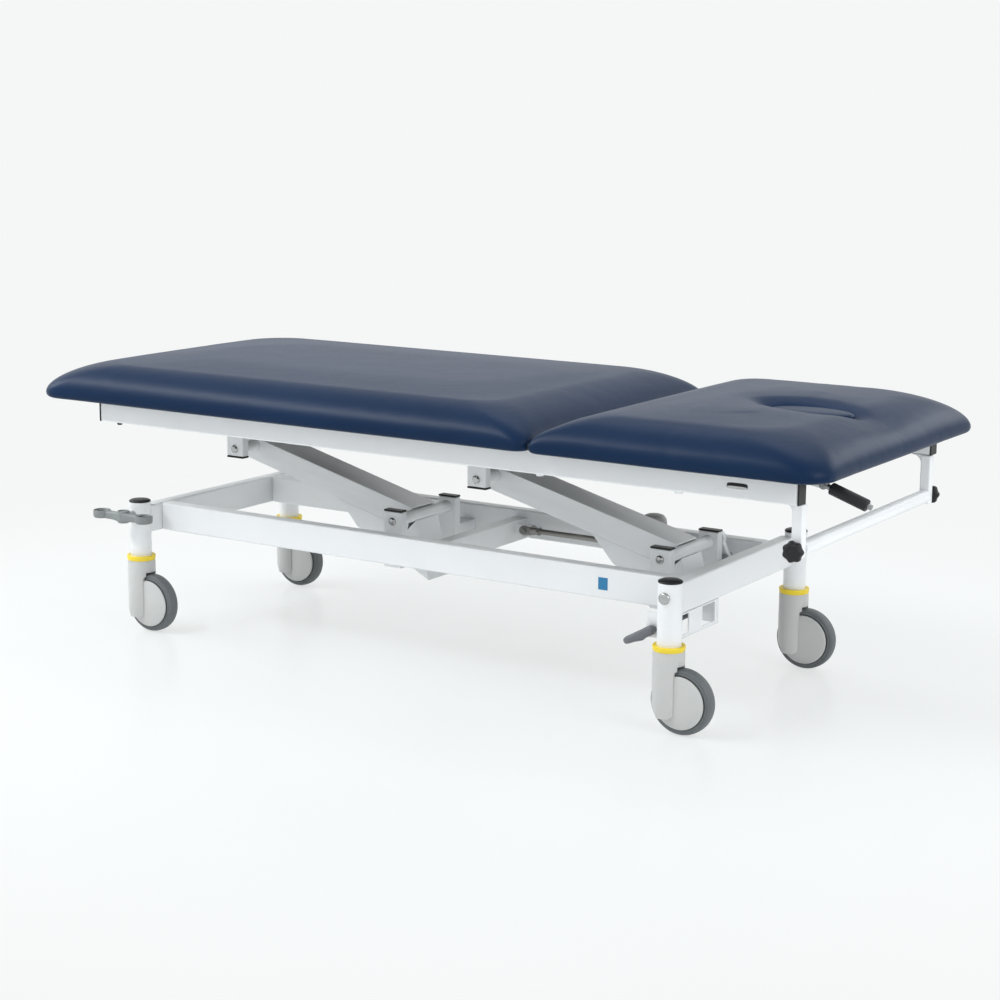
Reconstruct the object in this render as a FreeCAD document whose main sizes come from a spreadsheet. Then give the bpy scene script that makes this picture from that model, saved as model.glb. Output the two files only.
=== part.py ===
import FreeCAD, Part
import math
import os
import Sketcher

# Driving sizes in mm, X along the couch from its middle towards the head, Z up from the floor
SIZES = {
    # corner posts and castors
    "castor_mid": -95.0,
    "castor_base": 1304.6,
    "head_track": 540.0,
    "foot_track": 512.0,
    "post_radius": 23.0,
    "post_wall": 3.0,
    "post_bottom": 152.0,
    "post_proud": 9.5,
    "bush_height": 34.0,
    "stem_radius": 12.0,
    "cap_height": 6.0,
    "ring_radius": 30.0,
    "ring_height": 8.0,
    "hood_radius": 30.0,
    "leg_front": 21.0,
    "leg_bottom": 31.0,
    "wheel_radius": 62.5,
    "wheel_trail": 31.0,
    "wheel_gap": 4.0,
    "tyre_width": 28.0,
    "tyre_depth": 14.0,
    "cover_radius": 50.0,
    "cover_thickness": 4.0,
    "axle_radius": 6.0,
    "fit": 0.05,
    "gap": 0.2,
    # base frame
    "rail_height": 60.0,
    "rail_width": 30.0,
    "rail_wall": 2.5,
    "rail_bottom": 213.0,
    "rail_gauge": 378.0,
    "head_rail_inset": 13.3,
    "mid_rail_x": -44.0,
    "mid_rail_height": 45.0,
    # lift posts, arms and actuator
    "lift_post_length": 45.0,
    "lift_post_width": 20.0,
    "lift_gauge": 200.0,
    "lift_post_drop": 31.0,
    "lift_post_rise": 20.0,
    "lift_cap": 4.0,
    "tie_height": 27.0,
    "pivot_rise": 7.0,
    "foot_pivot_x": -180.4,
    "arm_spacing": 629.3,
    "arm_length": 435.6,
    "arm_angle": 14.68,
    "beam_width": 82.0,
    "beam_rise": 17.0,
    "beam_drop": 33.0,
    "beam_wall": 3.0,
    "beam_overrun": 22.0,
    "pivot_tube_radius": 12.5,
    "pivot_tube_wall": 3.0,
    "bolt_radius": 5.0,
    "bolt_head_radius": 8.5,
    "bolt_head_height": 6.0,
    "bolt_reach": 25.0,
    "crank_start": 190.0,
    "crank_knee_x": 128.0,
    "crank_knee_drop": 74.0,
    "crank_foot_x": 76.0,
    "crank_foot_drop": 118.0,
    "crank_plate": 6.0,
    "lever_y": 135.0,
    "lever_radius": 43.0,
    "lever_lag": 24.5,
    "lever_thickness": 12.0,
    "shaft_radius": 8.0,
    "fork_x": -5.0,
    "rod_radius": 5.0,
    "fork_half": 11.0,
    "fork_width": 26.0,
    "pin_proud": 2.0,
    "ear_length": 34.0,
    "rod_end_x": 335.0,
    "tube_start_x": 205.0,
    "tube_radius": 20.0,
    "tube_bore": 14.5,
    "motor_x": 302.0,
    "motor_radius": 27.0,
    "motor_height": 51.0,
    # top frame
    "top_rail_height": 50.0,
    "top_rail_width": 30.0,
    "rail_overhang": 53.0,
    "bracket_length": 71.61,
    "bracket_below": 19.4,
    "top_rail_foot": -795.0,
    "top_rail_head": 828.0,
    "end_cap": 3.0,
    # boards, pads and their hinge
    "board_thickness": 12.0,
    "board_inset": 20.0,
    "pad_half_width": 375.0,
    "foot_pad_start": -945.0,
    "foot_pad_end": 307.0,
    "head_pad_start": 319.0,
    "head_pad_end": 890.0,
    "pad_rise": 64.0,
    "pad_crown": 5.0,
    "pad_wrap": 6.0,
    "pad_foot_roll": 12.0,
    "roll_power": 1.5,
    "side_roll": 75.0,
    "end_roll": 120.0,
    "corner_radius": 60.0,
    "joint_corner": 26.0,
    "draw_in": 3.0,
    "hinge_rise": 6.0,
    "hinge_inset": 55.0,
    "knuckle_radius": 4.5,
    "hinge_pin_radius": 2.0,
    "leaf_thickness": 2.0,
    "hole_x": 700.0,
    "hole_length": 175.0,
    "hole_width": 95.0,
    "hole_dip": 12.0,
    "plug_gap": 1.0,
    # head frame, gas strut and release lever
    "head_bar": 25.0,
    "head_bar_inset": 42.0,
    "head_bar_start": 330.0,
    "head_bar_end": 800.0,
    "strut_base_drop": 4.0,
    "strut_end_x": 725.0,
    "strut_end_drop": 38.0,
    "strut_length": 250.0,
    "strut_rod_length": 357.0,
    "strut_radius": 13.0,
    "strut_bore": 10.25,
    "strut_rod_radius": 4.0,
    "strut_eye": 11.0,
    "strut_pin_radius": 5.0,
    "lever_pivot_x": 852.0,
    "lever_drop": 17.0,
    "release_angle": 19.0,
    "release_grip_start": 14.0,
    "release_grip_length": 72.0,
    "release_grip_radius": 11.0,
    "release_rod_radius": 5.0,
    "release_standoff": 10.5,
    # paper roll holder
    "paper_x": 819.0,
    "paper_post": 20.0,
    "paper_inset": 25.0,
    "paper_post_below": 15.0,
    "paper_drop": 81.0,
    "paper_bar_radius": 13.5,
    "knob_radius": 20.0,
    "knob_thickness": 20.0,
    "stud_radius": 4.0,
    # brakes
    "brake_drop": 15.0,
    "brake_bar_radius": 8.0,
    "pedal_gap": 8.0,
    "pedal_width": 26.0,
    "pedal_foot_lobe": 61.0,
    "pedal_head_lobe": 55.0,
    "pedal_lobe_radius": 21.0,
    "pedal_thickness": 18.0,
    "pedal_skin": 4.0,
    "head_pedal_x": 509.0,
    "head_pedal_drop": 32.0,
    "head_pedal_gap": 1.0,
    "head_pedal_width": 18.0,
    "head_pedal_reach": 47.0,
    "head_pedal_angle": 28.0,
    "brake_plate": 3.0,
    "brake_plate_depth": 48.0,
    "brake_plate_gap": 4.0,
    "brake_plate_far": 75.0,
}


class Size:
    # a length that carries both its expression for the sheet and its present value
    def __init__(self, text, value):
        self.text = text
        self.value = value

    def __add__(self, other):
        other = as_size(other)
        return Size(f"({self.text} + {other.text})", self.value + other.value)

    def __radd__(self, other):
        return as_size(other) + self

    def __sub__(self, other):
        other = as_size(other)
        return Size(f"({self.text} - {other.text})", self.value - other.value)

    def __rsub__(self, other):
        return as_size(other) - self

    def __mul__(self, other):
        other = as_size(other)
        return Size(f"({self.text} * {other.text})", self.value * other.value)

    def __rmul__(self, other):
        return as_size(other) * self

    def __truediv__(self, other):
        other = as_size(other)
        return Size(f"({self.text} / {other.text})", self.value / other.value)

    def __neg__(self):
        return Size(f"(0 - {self.text})", -self.value)


def as_size(number):
    if isinstance(number, Size):
        return number
    return Size(f"({number:g})", float(number))


def cosine(angle):
    angle = as_size(angle)
    return Size(f"cos({angle.text} * 1deg)", math.cos(math.radians(angle.value)))


def sine(angle):
    angle = as_size(angle)
    return Size(f"sin({angle.text} * 1deg)", math.sin(math.radians(angle.value)))


doc = FreeCAD.newDocument("examination_couch")
sheet = doc.addObject("Spreadsheet::Sheet", "dims")
for row, (alias, number) in enumerate(SIZES.items(), 1):
    sheet.set(f"A{row}", alias)
    sheet.set(f"B{row}", str(number))
    sheet.setAlias(f"B{row}", alias)
doc.recompute()

nodes = []


def d(alias):
    return Size(f"dims.{alias}", SIZES[alias])


def bind(item, path, size):
    item.setExpression(path, as_size(size).text)


def place(item, x, y, z, axis=(0, 0, 1), angle=0.0):
    angle = as_size(angle)
    turn = FreeCAD.Rotation(FreeCAD.Vector(*axis), angle.value)
    spot = FreeCAD.Vector(as_size(x).value, as_size(y).value, as_size(z).value)
    item.Placement = FreeCAD.Placement(spot, turn)
    bind(item, "Placement.Base.x", x)
    bind(item, "Placement.Base.y", y)
    bind(item, "Placement.Base.z", z)
    if "dims." in angle.text:
        item.setExpression("Placement.Rotation.Angle", f"{angle.text} * 1deg")
    return item


def box(x, y, z):
    # each argument is the pair of limits along that axis
    item = doc.addObject("Part::Box", "block")
    bind(item, "Length", x[1] - x[0])
    bind(item, "Width", y[1] - y[0])
    bind(item, "Height", z[1] - z[0])
    return place(item, x[0], y[0], z[0])


TURNS = {"X": ((0, 1, 0), 90.0), "Y": ((1, 0, 0), -90.0), "Z": ((0, 0, 1), 0.0)}


def cylinder(along, x, y, z, radius, length):
    item = doc.addObject("Part::Cylinder", "round")
    bind(item, "Radius", radius)
    bind(item, "Height", length)
    axis, angle = TURNS[along]
    return place(item, x, y, z, axis, angle)


def cut(body, *tools):
    item = doc.addObject("Part::Cut", "cut")
    item.Base = body
    item.Tool = tools[0] if len(tools) == 1 else fuse(*tools)
    return item


def fuse(*pieces):
    item = doc.addObject("Part::MultiFuse", "join")
    item.Shapes = list(pieces)
    item.Refine = True
    return item


def common(*pieces):
    item = doc.addObject("Part::MultiCommon", "overlap")
    item.Shapes = list(pieces)
    return item


def group(*pieces):
    item = doc.addObject("Part::Compound", "group")
    item.Links = list(pieces)
    return item


def copied(piece, x, y, z, axis=(0, 0, 1), angle=0.0):
    return place(group(piece), x, y, z, axis, angle)


def node(label, item):
    item.Label = label
    nodes.append(item)
    return item


def hollow(along, x, y, z, wall):
    spans = {"X": x, "Y": y, "Z": z}
    inner = []
    for axis in "XYZ":
        low, high = spans[axis]
        margin = -1 if axis == along else wall
        inner.append((as_size(low) + margin, as_size(high) - margin))
    return cut(box(x, y, z), box(*inner))


def sketch_outline(body, role, points):
    plane = [feature for feature in body.Origin.OriginFeatures if feature.Role == role][0]
    sketch = body.newObject("Sketcher::SketchObject", "outline")
    sketch.AttachmentSupport = [(plane, "")]
    sketch.MapMode = "FlatFace"
    points = [(as_size(u), as_size(v)) for u, v in points]
    corners = [FreeCAD.Vector(u.value, v.value, 0) for u, v in points]
    count = len(corners)
    for index in range(count):
        line = Part.LineSegment(corners[index], corners[(index + 1) % count])
        sketch.addGeometry(line, False)
    for index in range(count):
        sketch.addConstraint(Sketcher.Constraint("Coincident", index, 2, (index + 1) % count, 1))
    for index, (u, v) in enumerate(points):
        for kind, axis, size in (("DistanceX", -2, u), ("DistanceY", -1, v)):
            if "dims." not in size.text and size.value == 0:
                sketch.addConstraint(Sketcher.Constraint("PointOnObject", index, 1, axis))
                continue
            number = sketch.addConstraint(Sketcher.Constraint(kind, -1, 1, index, 1, size.value))
            sketch.setExpression(f"Constraints[{number}]", size.text)
    return sketch


def turned(points):
    # points are (radius, height) pairs, spun round Z
    body = doc.addObject("PartDesign::Body", "turning")
    sketch = sketch_outline(body, "XZ_Plane", points)
    spin = body.newObject("PartDesign::Revolution", "spin")
    spin.Profile = sketch
    spin.ReferenceAxis = (sketch, ["V_Axis"])
    spin.Angle = 360
    body.Tip = spin
    return body


def upright(points, width):
    # an outline in X and Z, given its width evenly to both sides of Y = 0
    body = doc.addObject("PartDesign::Body", "plate")
    sketch = sketch_outline(body, "XZ_Plane", points)
    pad = body.newObject("PartDesign::Pad", "pad")
    pad.Profile = sketch
    pad.SideType = "Symmetric"
    bind(pad, "Length", width)
    body.Tip = pad
    return body


def soften(body, radius, chosen):
    # rounds the edges of the body's last feature that the test picks
    doc.recompute()
    last = body.Tip
    edges = last.Shape.Edges
    names = [f"Edge{index}" for index, edge in enumerate(edges, 1) if chosen(edge)]
    fillet = body.newObject("PartDesign::Fillet", "soften")
    fillet.Base = (last, names)
    bind(fillet, "Radius", radius)
    body.Tip = fillet
    return body


def along_y_at(x, z):
    x = as_size(x).value
    z = as_size(z).value

    def chosen(edge):
        first, last = edge.Vertexes[0].Point, edge.Vertexes[-1].Point
        if abs(first.y - last.y) < 1:
            return False
        return abs(first.x - x) < 0.1 and abs(first.z - z) < 0.1

    return chosen


# Positions that several pieces share
foot_post_x = d("castor_mid") - d("castor_base") / 2
head_post_x = d("castor_mid") + d("castor_base") / 2
head_rail_x = head_post_x - d("head_rail_inset")
rail_top = d("rail_bottom") + d("rail_height")
half_rail = d("rail_width") / 2
rail_inner = d("rail_gauge") / 2 - half_rail
head_pivot_x = d("foot_pivot_x") + d("arm_spacing")
arm_run = d("arm_length") * cosine(d("arm_angle"))
arm_climb = d("arm_length") * sine(d("arm_angle"))
pivot_height = rail_top + d("pivot_rise")
upper_height = pivot_height + arm_climb
foot_upper_x = d("foot_pivot_x") - arm_run
head_upper_x = head_pivot_x - arm_run
lift_inner = (d("lift_gauge") - d("lift_post_width")) / 2
lift_outer = (d("lift_gauge") + d("lift_post_width")) / 2
top_rail_bottom = upper_height + d("bracket_length")
top_rail_top = top_rail_bottom + d("top_rail_height")
top_rail_outer = d("pad_half_width") - d("rail_overhang")
top_rail_inner = top_rail_outer - d("top_rail_width")
head_bar_y = top_rail_inner - d("head_bar_inset")
release_y = head_bar_y + d("head_bar") / 2 + d("release_standoff")
paper_post_y = top_rail_outer - d("paper_inset")
hinge_length = (d("pad_half_width") - d("hinge_inset")) * 2
pedal_y = d("foot_track") / 2 + d("post_radius") + d("pedal_gap") + d("pedal_width") / 2
brake_plate_near = d("head_track") / 2 - d("post_radius") - d("brake_plate_gap")
head_pedal_half = d("head_pedal_width") / 2
head_pedal_y = brake_plate_near + d("head_pedal_gap") + head_pedal_half
board_top = top_rail_top + d("board_thickness")
hinge_x = (d("foot_pad_end") + d("head_pad_start")) / 2
hinge_height = board_top + d("hinge_rise")
post_top = rail_top + d("post_proud")
lift_post_bottom = d("rail_bottom") - d("lift_post_drop")
lift_post_top = pivot_height + d("lift_post_rise")
bracket_bottom = upper_height - d("bracket_below")
strut_base_height = top_rail_bottom - d("strut_base_drop")
strut_end_height = top_rail_top - d("strut_end_drop")
lever_pivot_height = top_rail_top - d("lever_drop")
paper_height = top_rail_bottom - d("paper_drop")
paper_post_bottom = paper_height - d("paper_post_below")
brake_height = rail_top - d("brake_drop")
head_pedal_height = d("rail_bottom") - d("head_pedal_drop")
brake_plate_bottom = d("rail_bottom") - d("brake_plate_depth")
corners = [
    ("foot_near", foot_post_x, -d("foot_track") / 2),
    ("foot_far", foot_post_x, d("foot_track") / 2),
    ("head_near", head_post_x, -d("head_track") / 2),
    ("head_far", head_post_x, d("head_track") / 2),
]


# Castors: a swivel hood with legs, covers and stem, a hub and a tyre
hood_top = d("post_bottom") - d("gap")
leg_back = d("hood_radius") + 0.5
slot_half = d("tyre_width") / 2 + 1
arch_start = d("wheel_radius") * 2 - 8
leg_outline = upright(
    [
        (-leg_back, hood_top + 1),
        (-leg_back, d("leg_bottom") + 31),
        (-8, d("leg_bottom")),
        (d("leg_front"), d("leg_bottom")),
        (d("leg_front"), arch_start),
        (leg_back, arch_start + 8),
        (leg_back, hood_top + 1),
    ],
    d("hood_radius") * 2 + 4,
)
soften(leg_outline, 40, along_y_at(-leg_back, d("leg_bottom") + 31))
soften(leg_outline, 10, along_y_at(d("leg_front"), d("leg_bottom")))
hood_bar = cylinder("Z", 0, 0, d("leg_bottom") - 2, d("hood_radius"), hood_top - d("leg_bottom") + 2)
wheel_well = cylinder(
    "Y", d("wheel_trail"), -slot_half, d("wheel_radius"), d("wheel_radius") + d("wheel_gap"), slot_half * 2
)
back_slot = box((-leg_back - 1, as_size(0)), (-slot_half, slot_half), (as_size(0), d("wheel_radius") + 22))
hood_shell = cut(common(hood_bar, leg_outline), wheel_well, back_slot)
cover_rim = slot_half + d("cover_thickness")
cover = turned(
    [
        (0, 0.5),
        (d("axle_radius"), 0.5),
        (d("axle_radius"), slot_half),
        (d("cover_radius"), slot_half),
        (d("cover_radius"), cover_rim - 1.5),
        (d("cover_radius") - 3, cover_rim),
        (0, cover_rim),
    ]
)
near_cover = copied(cover, d("wheel_trail"), 0, d("wheel_radius"), (1, 0, 0), 90)
far_cover = copied(cover, d("wheel_trail"), 0, d("wheel_radius"), (1, 0, 0), -90)
stem = cylinder("Z", 0, 0, hood_top - 3, d("stem_radius"), d("bush_height"))
hood = fuse(hood_shell, near_cover, far_cover, stem)
half_tyre = d("tyre_width") / 2
tyre_bore = d("wheel_radius") - d("tyre_depth")
tyre = turned(
    [
        (tyre_bore, -half_tyre + 2),
        (d("wheel_radius") - 8, -half_tyre),
        (d("wheel_radius") - 2.5, -half_tyre + 3),
        (d("wheel_radius"), -half_tyre + 9),
        (d("wheel_radius"), half_tyre - 9),
        (d("wheel_radius") - 2.5, half_tyre - 3),
        (d("wheel_radius") - 8, half_tyre),
        (tyre_bore, half_tyre - 2),
    ]
)
hub_bore = d("axle_radius") + d("fit")
hub = turned(
    [
        (hub_bore, -half_tyre),
        (hub_bore + 8, -half_tyre),
        (hub_bore + 8, -5),
        (tyre_bore - 6, -5),
        (tyre_bore - 6, -half_tyre + 3),
        (tyre_bore, -half_tyre + 3),
        (tyre_bore, half_tyre - 3),
        (tyre_bore - 6, half_tyre - 3),
        (tyre_bore - 6, 5),
        (hub_bore + 8, 5),
        (hub_bore + 8, half_tyre),
        (hub_bore, half_tyre),
    ]
)
for name, x, y in corners:
    wheel_x = x + d("wheel_trail")
    node(f"castor_hood_{name}", copied(hood, x, y, 0))
    node(f"castor_tyre_{name}", copied(tyre, wheel_x, y, d("wheel_radius"), (1, 0, 0), -90))
    node(f"castor_hub_{name}", copied(hub, wheel_x, y, d("wheel_radius"), (1, 0, 0), -90))


# Corner posts with their bushes, yellow rings and domed caps
post_bore = d("post_radius") - d("post_wall")
bush_bore = d("stem_radius") + d("fit")
bush_top = d("post_bottom") + d("bush_height")
post = turned(
    [
        (bush_bore, d("post_bottom")),
        (d("post_radius"), d("post_bottom")),
        (d("post_radius"), post_top),
        (post_bore, post_top),
        (post_bore, bush_top),
        (bush_bore, bush_top),
    ]
)
bar_bore = d("brake_bar_radius") + d("fit")
post_drill = cylinder("Y", 0, -d("post_radius") - 1, brake_height, bar_bore, d("post_radius") * 2 + 2)
drilled_post = cut(post, post_drill)
ring_bore = d("post_radius") + d("fit")
ring_top = d("post_bottom") + d("ring_height")
ring = turned(
    [
        (ring_bore, d("post_bottom")),
        (d("ring_radius"), d("post_bottom")),
        (d("ring_radius"), ring_top - 2.5),
        (d("ring_radius") - 2.5, ring_top),
        (ring_bore, ring_top),
    ]
)
cap_spigot = post_bore - d("fit")
cap_top = post_top + d("cap_height")
cap = turned(
    [
        (0, post_top - 9),
        (cap_spigot, post_top - 9),
        (cap_spigot, post_top),
        (d("post_radius"), post_top),
        (d("post_radius"), post_top + d("cap_height") * 0.35),
        (d("post_radius") * 0.85, post_top + d("cap_height") * 0.7),
        (d("post_radius") * 0.5, cap_top - d("cap_height") * 0.08),
        (0, cap_top),
    ]
)
node("corner_posts", group(*[copied(drilled_post, x, y, 0) for _, x, y in corners]))
node("castor_rings", group(*[copied(ring, x, y, 0) for _, x, y in corners]))
node("corner_caps", group(*[copied(cap, x, y, 0) for _, x, y in corners]))


# Base frame: two long rails, two cross rails coped to the posts, and the mid rail with the actuator lug
rail_z = (d("rail_bottom"), rail_top)
side_x = (foot_post_x + half_rail, head_rail_x - half_rail)
side_rails = []
for side in (-1, 1):
    centre = d("rail_gauge") / 2 * side
    side_rails.append(hollow("X", side_x, (centre - half_rail, centre + half_rail), rail_z, d("rail_wall")))
node("base_side_rails", group(*side_rails))
cross_rails = []
for rail_x, post_x, track in (
    (foot_post_x, foot_post_x, d("foot_track")),
    (head_rail_x, head_post_x, d("head_track")),
):
    reach = track / 2 - 10
    rail = hollow("Y", (rail_x - half_rail, rail_x + half_rail), (-reach, reach), rail_z, d("rail_wall"))
    copes = []
    for side in (-1, 1):
        cope_radius = d("post_radius") + d("gap")
        cope_start = d("rail_bottom") - 10
        copes.append(cylinder("Z", post_x, track / 2 * side, cope_start, cope_radius, d("rail_height") + 20))
    cross_rails.append(cut(rail, *copes))
node("base_cross_rails", group(*cross_rails))
mid_x = (d("mid_rail_x") - half_rail, d("mid_rail_x") + half_rail)
mid_z = (d("rail_bottom"), d("rail_bottom") + d("mid_rail_height"))
mid_rail = hollow("Y", mid_x, (-rail_inner, rail_inner), mid_z, d("rail_wall"))
pin_x = head_pivot_x + d("lever_radius") * sine(d("lever_lag"))
pin_z = pivot_height - d("lever_radius") * cosine(d("lever_lag"))
lug_bore = d("strut_pin_radius") + d("fit")
lug_z = (pin_z - d("fork_half"), pin_z + d("fork_half"))
lug = box((mid_x[1], d("fork_x") + d("fork_half")), (d("lever_y") - 5, d("lever_y") + 5), lug_z)
lug_drill = cylinder("Y", d("fork_x"), d("lever_y") - 6, pin_z, lug_bore, 12)
node("base_mid_rail", fuse(mid_rail, cut(lug, lug_drill)))


# Lift posts with ties, caps and the lower pivot bolts
post_half = d("lift_post_length") / 2
bolt_bore = d("bolt_radius") + d("fit")
shaft_bore = d("shaft_radius") + d("fit")
tie_z = (d("rail_bottom"), d("rail_bottom") + d("tie_height"))
lift_posts = []
lift_caps = []
lift_ties = []
for pivot_x, at_head in ((d("foot_pivot_x"), False), (head_pivot_x, True)):
    for side in (-1, 1):
        middle = d("lift_gauge") / 2 * side
        span_y = (middle - d("lift_post_width") / 2, middle + d("lift_post_width") / 2)
        span_x = (pivot_x - post_half, pivot_x + post_half)
        tube = hollow("Z", span_x, span_y, (lift_post_bottom, lift_post_top), d("rail_wall"))
        bore = shaft_bore if at_head and side == 1 else bolt_bore
        drill = cylinder("Y", pivot_x, span_y[0] - 1, pivot_height, bore, d("lift_post_width") + 2)
        lift_posts.append(cut(tube, drill))
        cap_z = (lift_post_top, lift_post_top + d("lift_cap"))
        lift_caps.append(box(span_x, span_y, cap_z))
        if at_head:
            tie_x = (span_x[1], head_rail_x - half_rail)
            lift_ties.append(hollow("X", tie_x, span_y, tie_z, d("rail_wall")))
        else:
            tie_x = (span_x[0] + 3, span_x[1] - 3)
            tie_y = (lift_outer, rail_inner) if side == 1 else (-rail_inner, -lift_outer)
            lift_ties.append(hollow("Y", tie_x, tie_y, tie_z, d("rail_wall")))
node("lift_posts", group(*lift_posts))
node("lift_post_caps", group(*lift_caps))
node("lift_post_ties", group(*lift_ties))
bolt = turned(
    [
        (0, -d("lift_post_width") - d("bolt_reach")),
        (d("bolt_radius"), -d("lift_post_width") - d("bolt_reach")),
        (d("bolt_radius"), 0),
        (d("bolt_head_radius"), 0),
        (d("bolt_head_radius"), d("bolt_head_height") * 0.4),
        (d("bolt_head_radius") * 0.7, d("bolt_head_height") * 0.85),
        (0, d("bolt_head_height")),
    ]
)


def bolts(spots):
    # bolts stand on the outer faces of the lift posts and brackets, heads outwards
    pieces = []
    for x, z, side in spots:
        pieces.append(copied(bolt, x, lift_outer * side, z, (1, 0, 0), -90 * side))
    return group(*pieces)


node(
    "base_pivot_bolts",
    bolts(
        [
            (d("foot_pivot_x"), pivot_height, -1),
            (d("foot_pivot_x"), pivot_height, 1),
            (head_pivot_x, pivot_height, -1),
        ]
    ),
)


# Lift arms, drawn level with the lower pivot at the origin and then turned to their slope
tube_half = lift_inner - 1
tube_core = d("pivot_tube_radius") - d("pivot_tube_wall")
bush_face = tube_half - d("bolt_reach") - 2


def pivot_tube(far_bore):
    return turned(
        [
            (bolt_bore, -tube_half),
            (d("pivot_tube_radius"), -tube_half),
            (d("pivot_tube_radius"), tube_half),
            (far_bore, tube_half),
            (far_bore, bush_face),
            (tube_core, bush_face),
            (tube_core, -bush_face),
            (bolt_bore, -bush_face),
        ]
    )


plain_tube = pivot_tube(bolt_bore)
shaft_tube = pivot_tube(shaft_bore)
half_beam = d("beam_width") / 2
beam_x = (-d("arm_length") - d("beam_overrun"), as_size(-4))
beam_z = (-d("beam_drop"), d("beam_rise"))
beam_tube = hollow("X", beam_x, (-half_beam, half_beam), beam_z, d("beam_wall"))
cope = d("pivot_tube_radius") + d("gap")
cope_half = half_beam + 10
beam_cope = cylinder("Y", 0, -cope_half, 0, cope, cope_half * 2)
upper_cope = cylinder("Y", -d("arm_length"), -cope_half, 0, cope, cope_half * 2)
beam = cut(beam_tube, beam_cope, upper_cope)
crank_side = upright(
    [
        (-d("crank_start"), -d("beam_drop")),
        (-d("crank_knee_x"), -d("crank_knee_drop")),
        (d("crank_foot_x"), -d("crank_foot_drop")),
        (d("pivot_tube_radius"), -6),
        (-4, -d("beam_drop")),
    ],
    d("beam_width"),
)
plate = d("crank_plate")
crank_hollow = upright(
    [
        (-d("crank_start") - 60, -d("beam_drop") + 1),
        (-d("crank_knee_x") - 60, -d("crank_foot_drop") - 60),
        (d("crank_foot_x") - 14, -d("crank_foot_drop") - 60),
        (d("crank_foot_x") - 14, -d("crank_foot_drop") + 2),
        (d("pivot_tube_radius") - plate, -2),
        (-12, -d("beam_drop") + 1),
    ],
    d("beam_width") - plate * 2,
)
crank = cut(crank_side, crank_hollow, cylinder("Y", 0, -cope_half, 0, cope, cope_half * 2))
for name, pivot_x, lower_tube in (
    ("foot", d("foot_pivot_x"), plain_tube),
    ("head", head_pivot_x, shaft_tube),
):
    slope = ((0, 1, 0), d("arm_angle"))
    node(f"{name}_arm_beam", copied(beam, pivot_x, 0, pivot_height, *slope))
    node(f"{name}_arm_crank", copied(crank, pivot_x, 0, pivot_height, *slope))
    lower = copied(lower_tube, pivot_x, 0, pivot_height, (1, 0, 0), -90)
    upper = copied(plain_tube, pivot_x - arm_run, 0, upper_height, (1, 0, 0), -90)
    node(f"{name}_arm_tubes", group(lower, upper))


# Lever on a torque shaft through the far head post, and the actuator that pulls it
half_lever = d("lever_thickness") / 2
shaft_start = bush_face + 1
shaft = cylinder(
    "Y", head_pivot_x, shaft_start, pivot_height, d("shaft_radius"), d("lever_y") + half_lever - shaft_start
)
eye_y = d("lever_y") - half_lever
lever_top = cylinder("Y", head_pivot_x, eye_y, pivot_height, 15, d("lever_thickness"))
lever_end = cylinder("Y", pin_x, eye_y, pin_z, 11, d("lever_thickness"))
lever_web = place(
    box((as_size(-9), as_size(9)), (eye_y, eye_y + d("lever_thickness")), (-d("lever_radius"), as_size(0))),
    head_pivot_x - 9 * cosine(d("lever_lag")) + d("lever_radius") * sine(d("lever_lag")),
    eye_y,
    pivot_height - 9 * sine(d("lever_lag")) - d("lever_radius") * cosine(d("lever_lag")),
    (0, 1, 0),
    -d("lever_lag"),
)
lever_drill = cylinder("Y", pin_x, eye_y - 1, pin_z, lug_bore, d("lever_thickness") + 2)
node("lift_lever", fuse(shaft, cut(fuse(lever_top, lever_end, lever_web), lever_drill)))
rod_start = d("fork_x") + d("fork_half") + 5
half_fork = d("fork_width") / 2
rod = cylinder("X", rod_start, d("lever_y"), pin_z, d("rod_radius"), d("rod_end_x") - rod_start)
fork_back = box((rod_start, rod_start + 12), (d("lever_y") - half_fork, d("lever_y") + half_fork), lug_z)
prongs = []
for side in (-1, 1):
    inner = d("lever_y") + 5.3 * side
    outer = d("lever_y") + half_fork * side
    limits = (inner, outer) if side == 1 else (outer, inner)
    prongs.append(box((d("fork_x") - d("fork_half"), rod_start + 1), limits, lug_z))
half_pin = half_fork + d("pin_proud")
fork_pin = cylinder("Y", d("fork_x"), d("lever_y") - half_pin, pin_z, d("strut_pin_radius"), half_pin * 2)
node("actuator_rod", fuse(rod, fork_back, prongs[0], prongs[1], fork_pin))
tube_end = pin_x - d("ear_length")
outer_tube = cylinder(
    "X", d("tube_start_x"), d("lever_y"), pin_z, d("tube_radius"), tube_end - d("tube_start_x")
)
tube_hollow = cylinder(
    "X", d("tube_start_x") - 1, d("lever_y"), pin_z, d("tube_bore"), tube_end - d("tube_start_x") - 9
)
ears = []
for side in (-1, 1):
    inner = d("lever_y") + (half_lever + 0.3) * side
    outer = d("lever_y") + (half_lever + 6.3) * side
    limits = (inner, outer) if side == 1 else (outer, inner)
    ears.append(box((tube_end - 1, pin_x + 9), limits, (pin_z - 9, pin_z + 9)))
ear_pin = cylinder(
    "Y", pin_x, d("lever_y") - half_lever - 7.5, pin_z, d("strut_pin_radius"), d("lever_thickness") + 15
)
node("actuator_tube", fuse(cut(outer_tube, tube_hollow), ears[0], ears[1], ear_pin))
motor_base = pin_z + d("tube_radius") + d("gap")
motor_dome = d("motor_radius") * 0.9
motor_top = motor_base + d("motor_height")
motor = turned(
    [
        (0, motor_base),
        (d("motor_radius"), motor_base),
        (d("motor_radius"), motor_top - motor_dome * 0.8),
        (d("motor_radius") * 0.9, motor_top - motor_dome * 0.42),
        (d("motor_radius") * 0.6, motor_top - motor_dome * 0.12),
        (0, motor_top),
    ]
)
node("actuator_motor", place(motor, d("motor_x"), d("lever_y"), 0))


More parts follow.
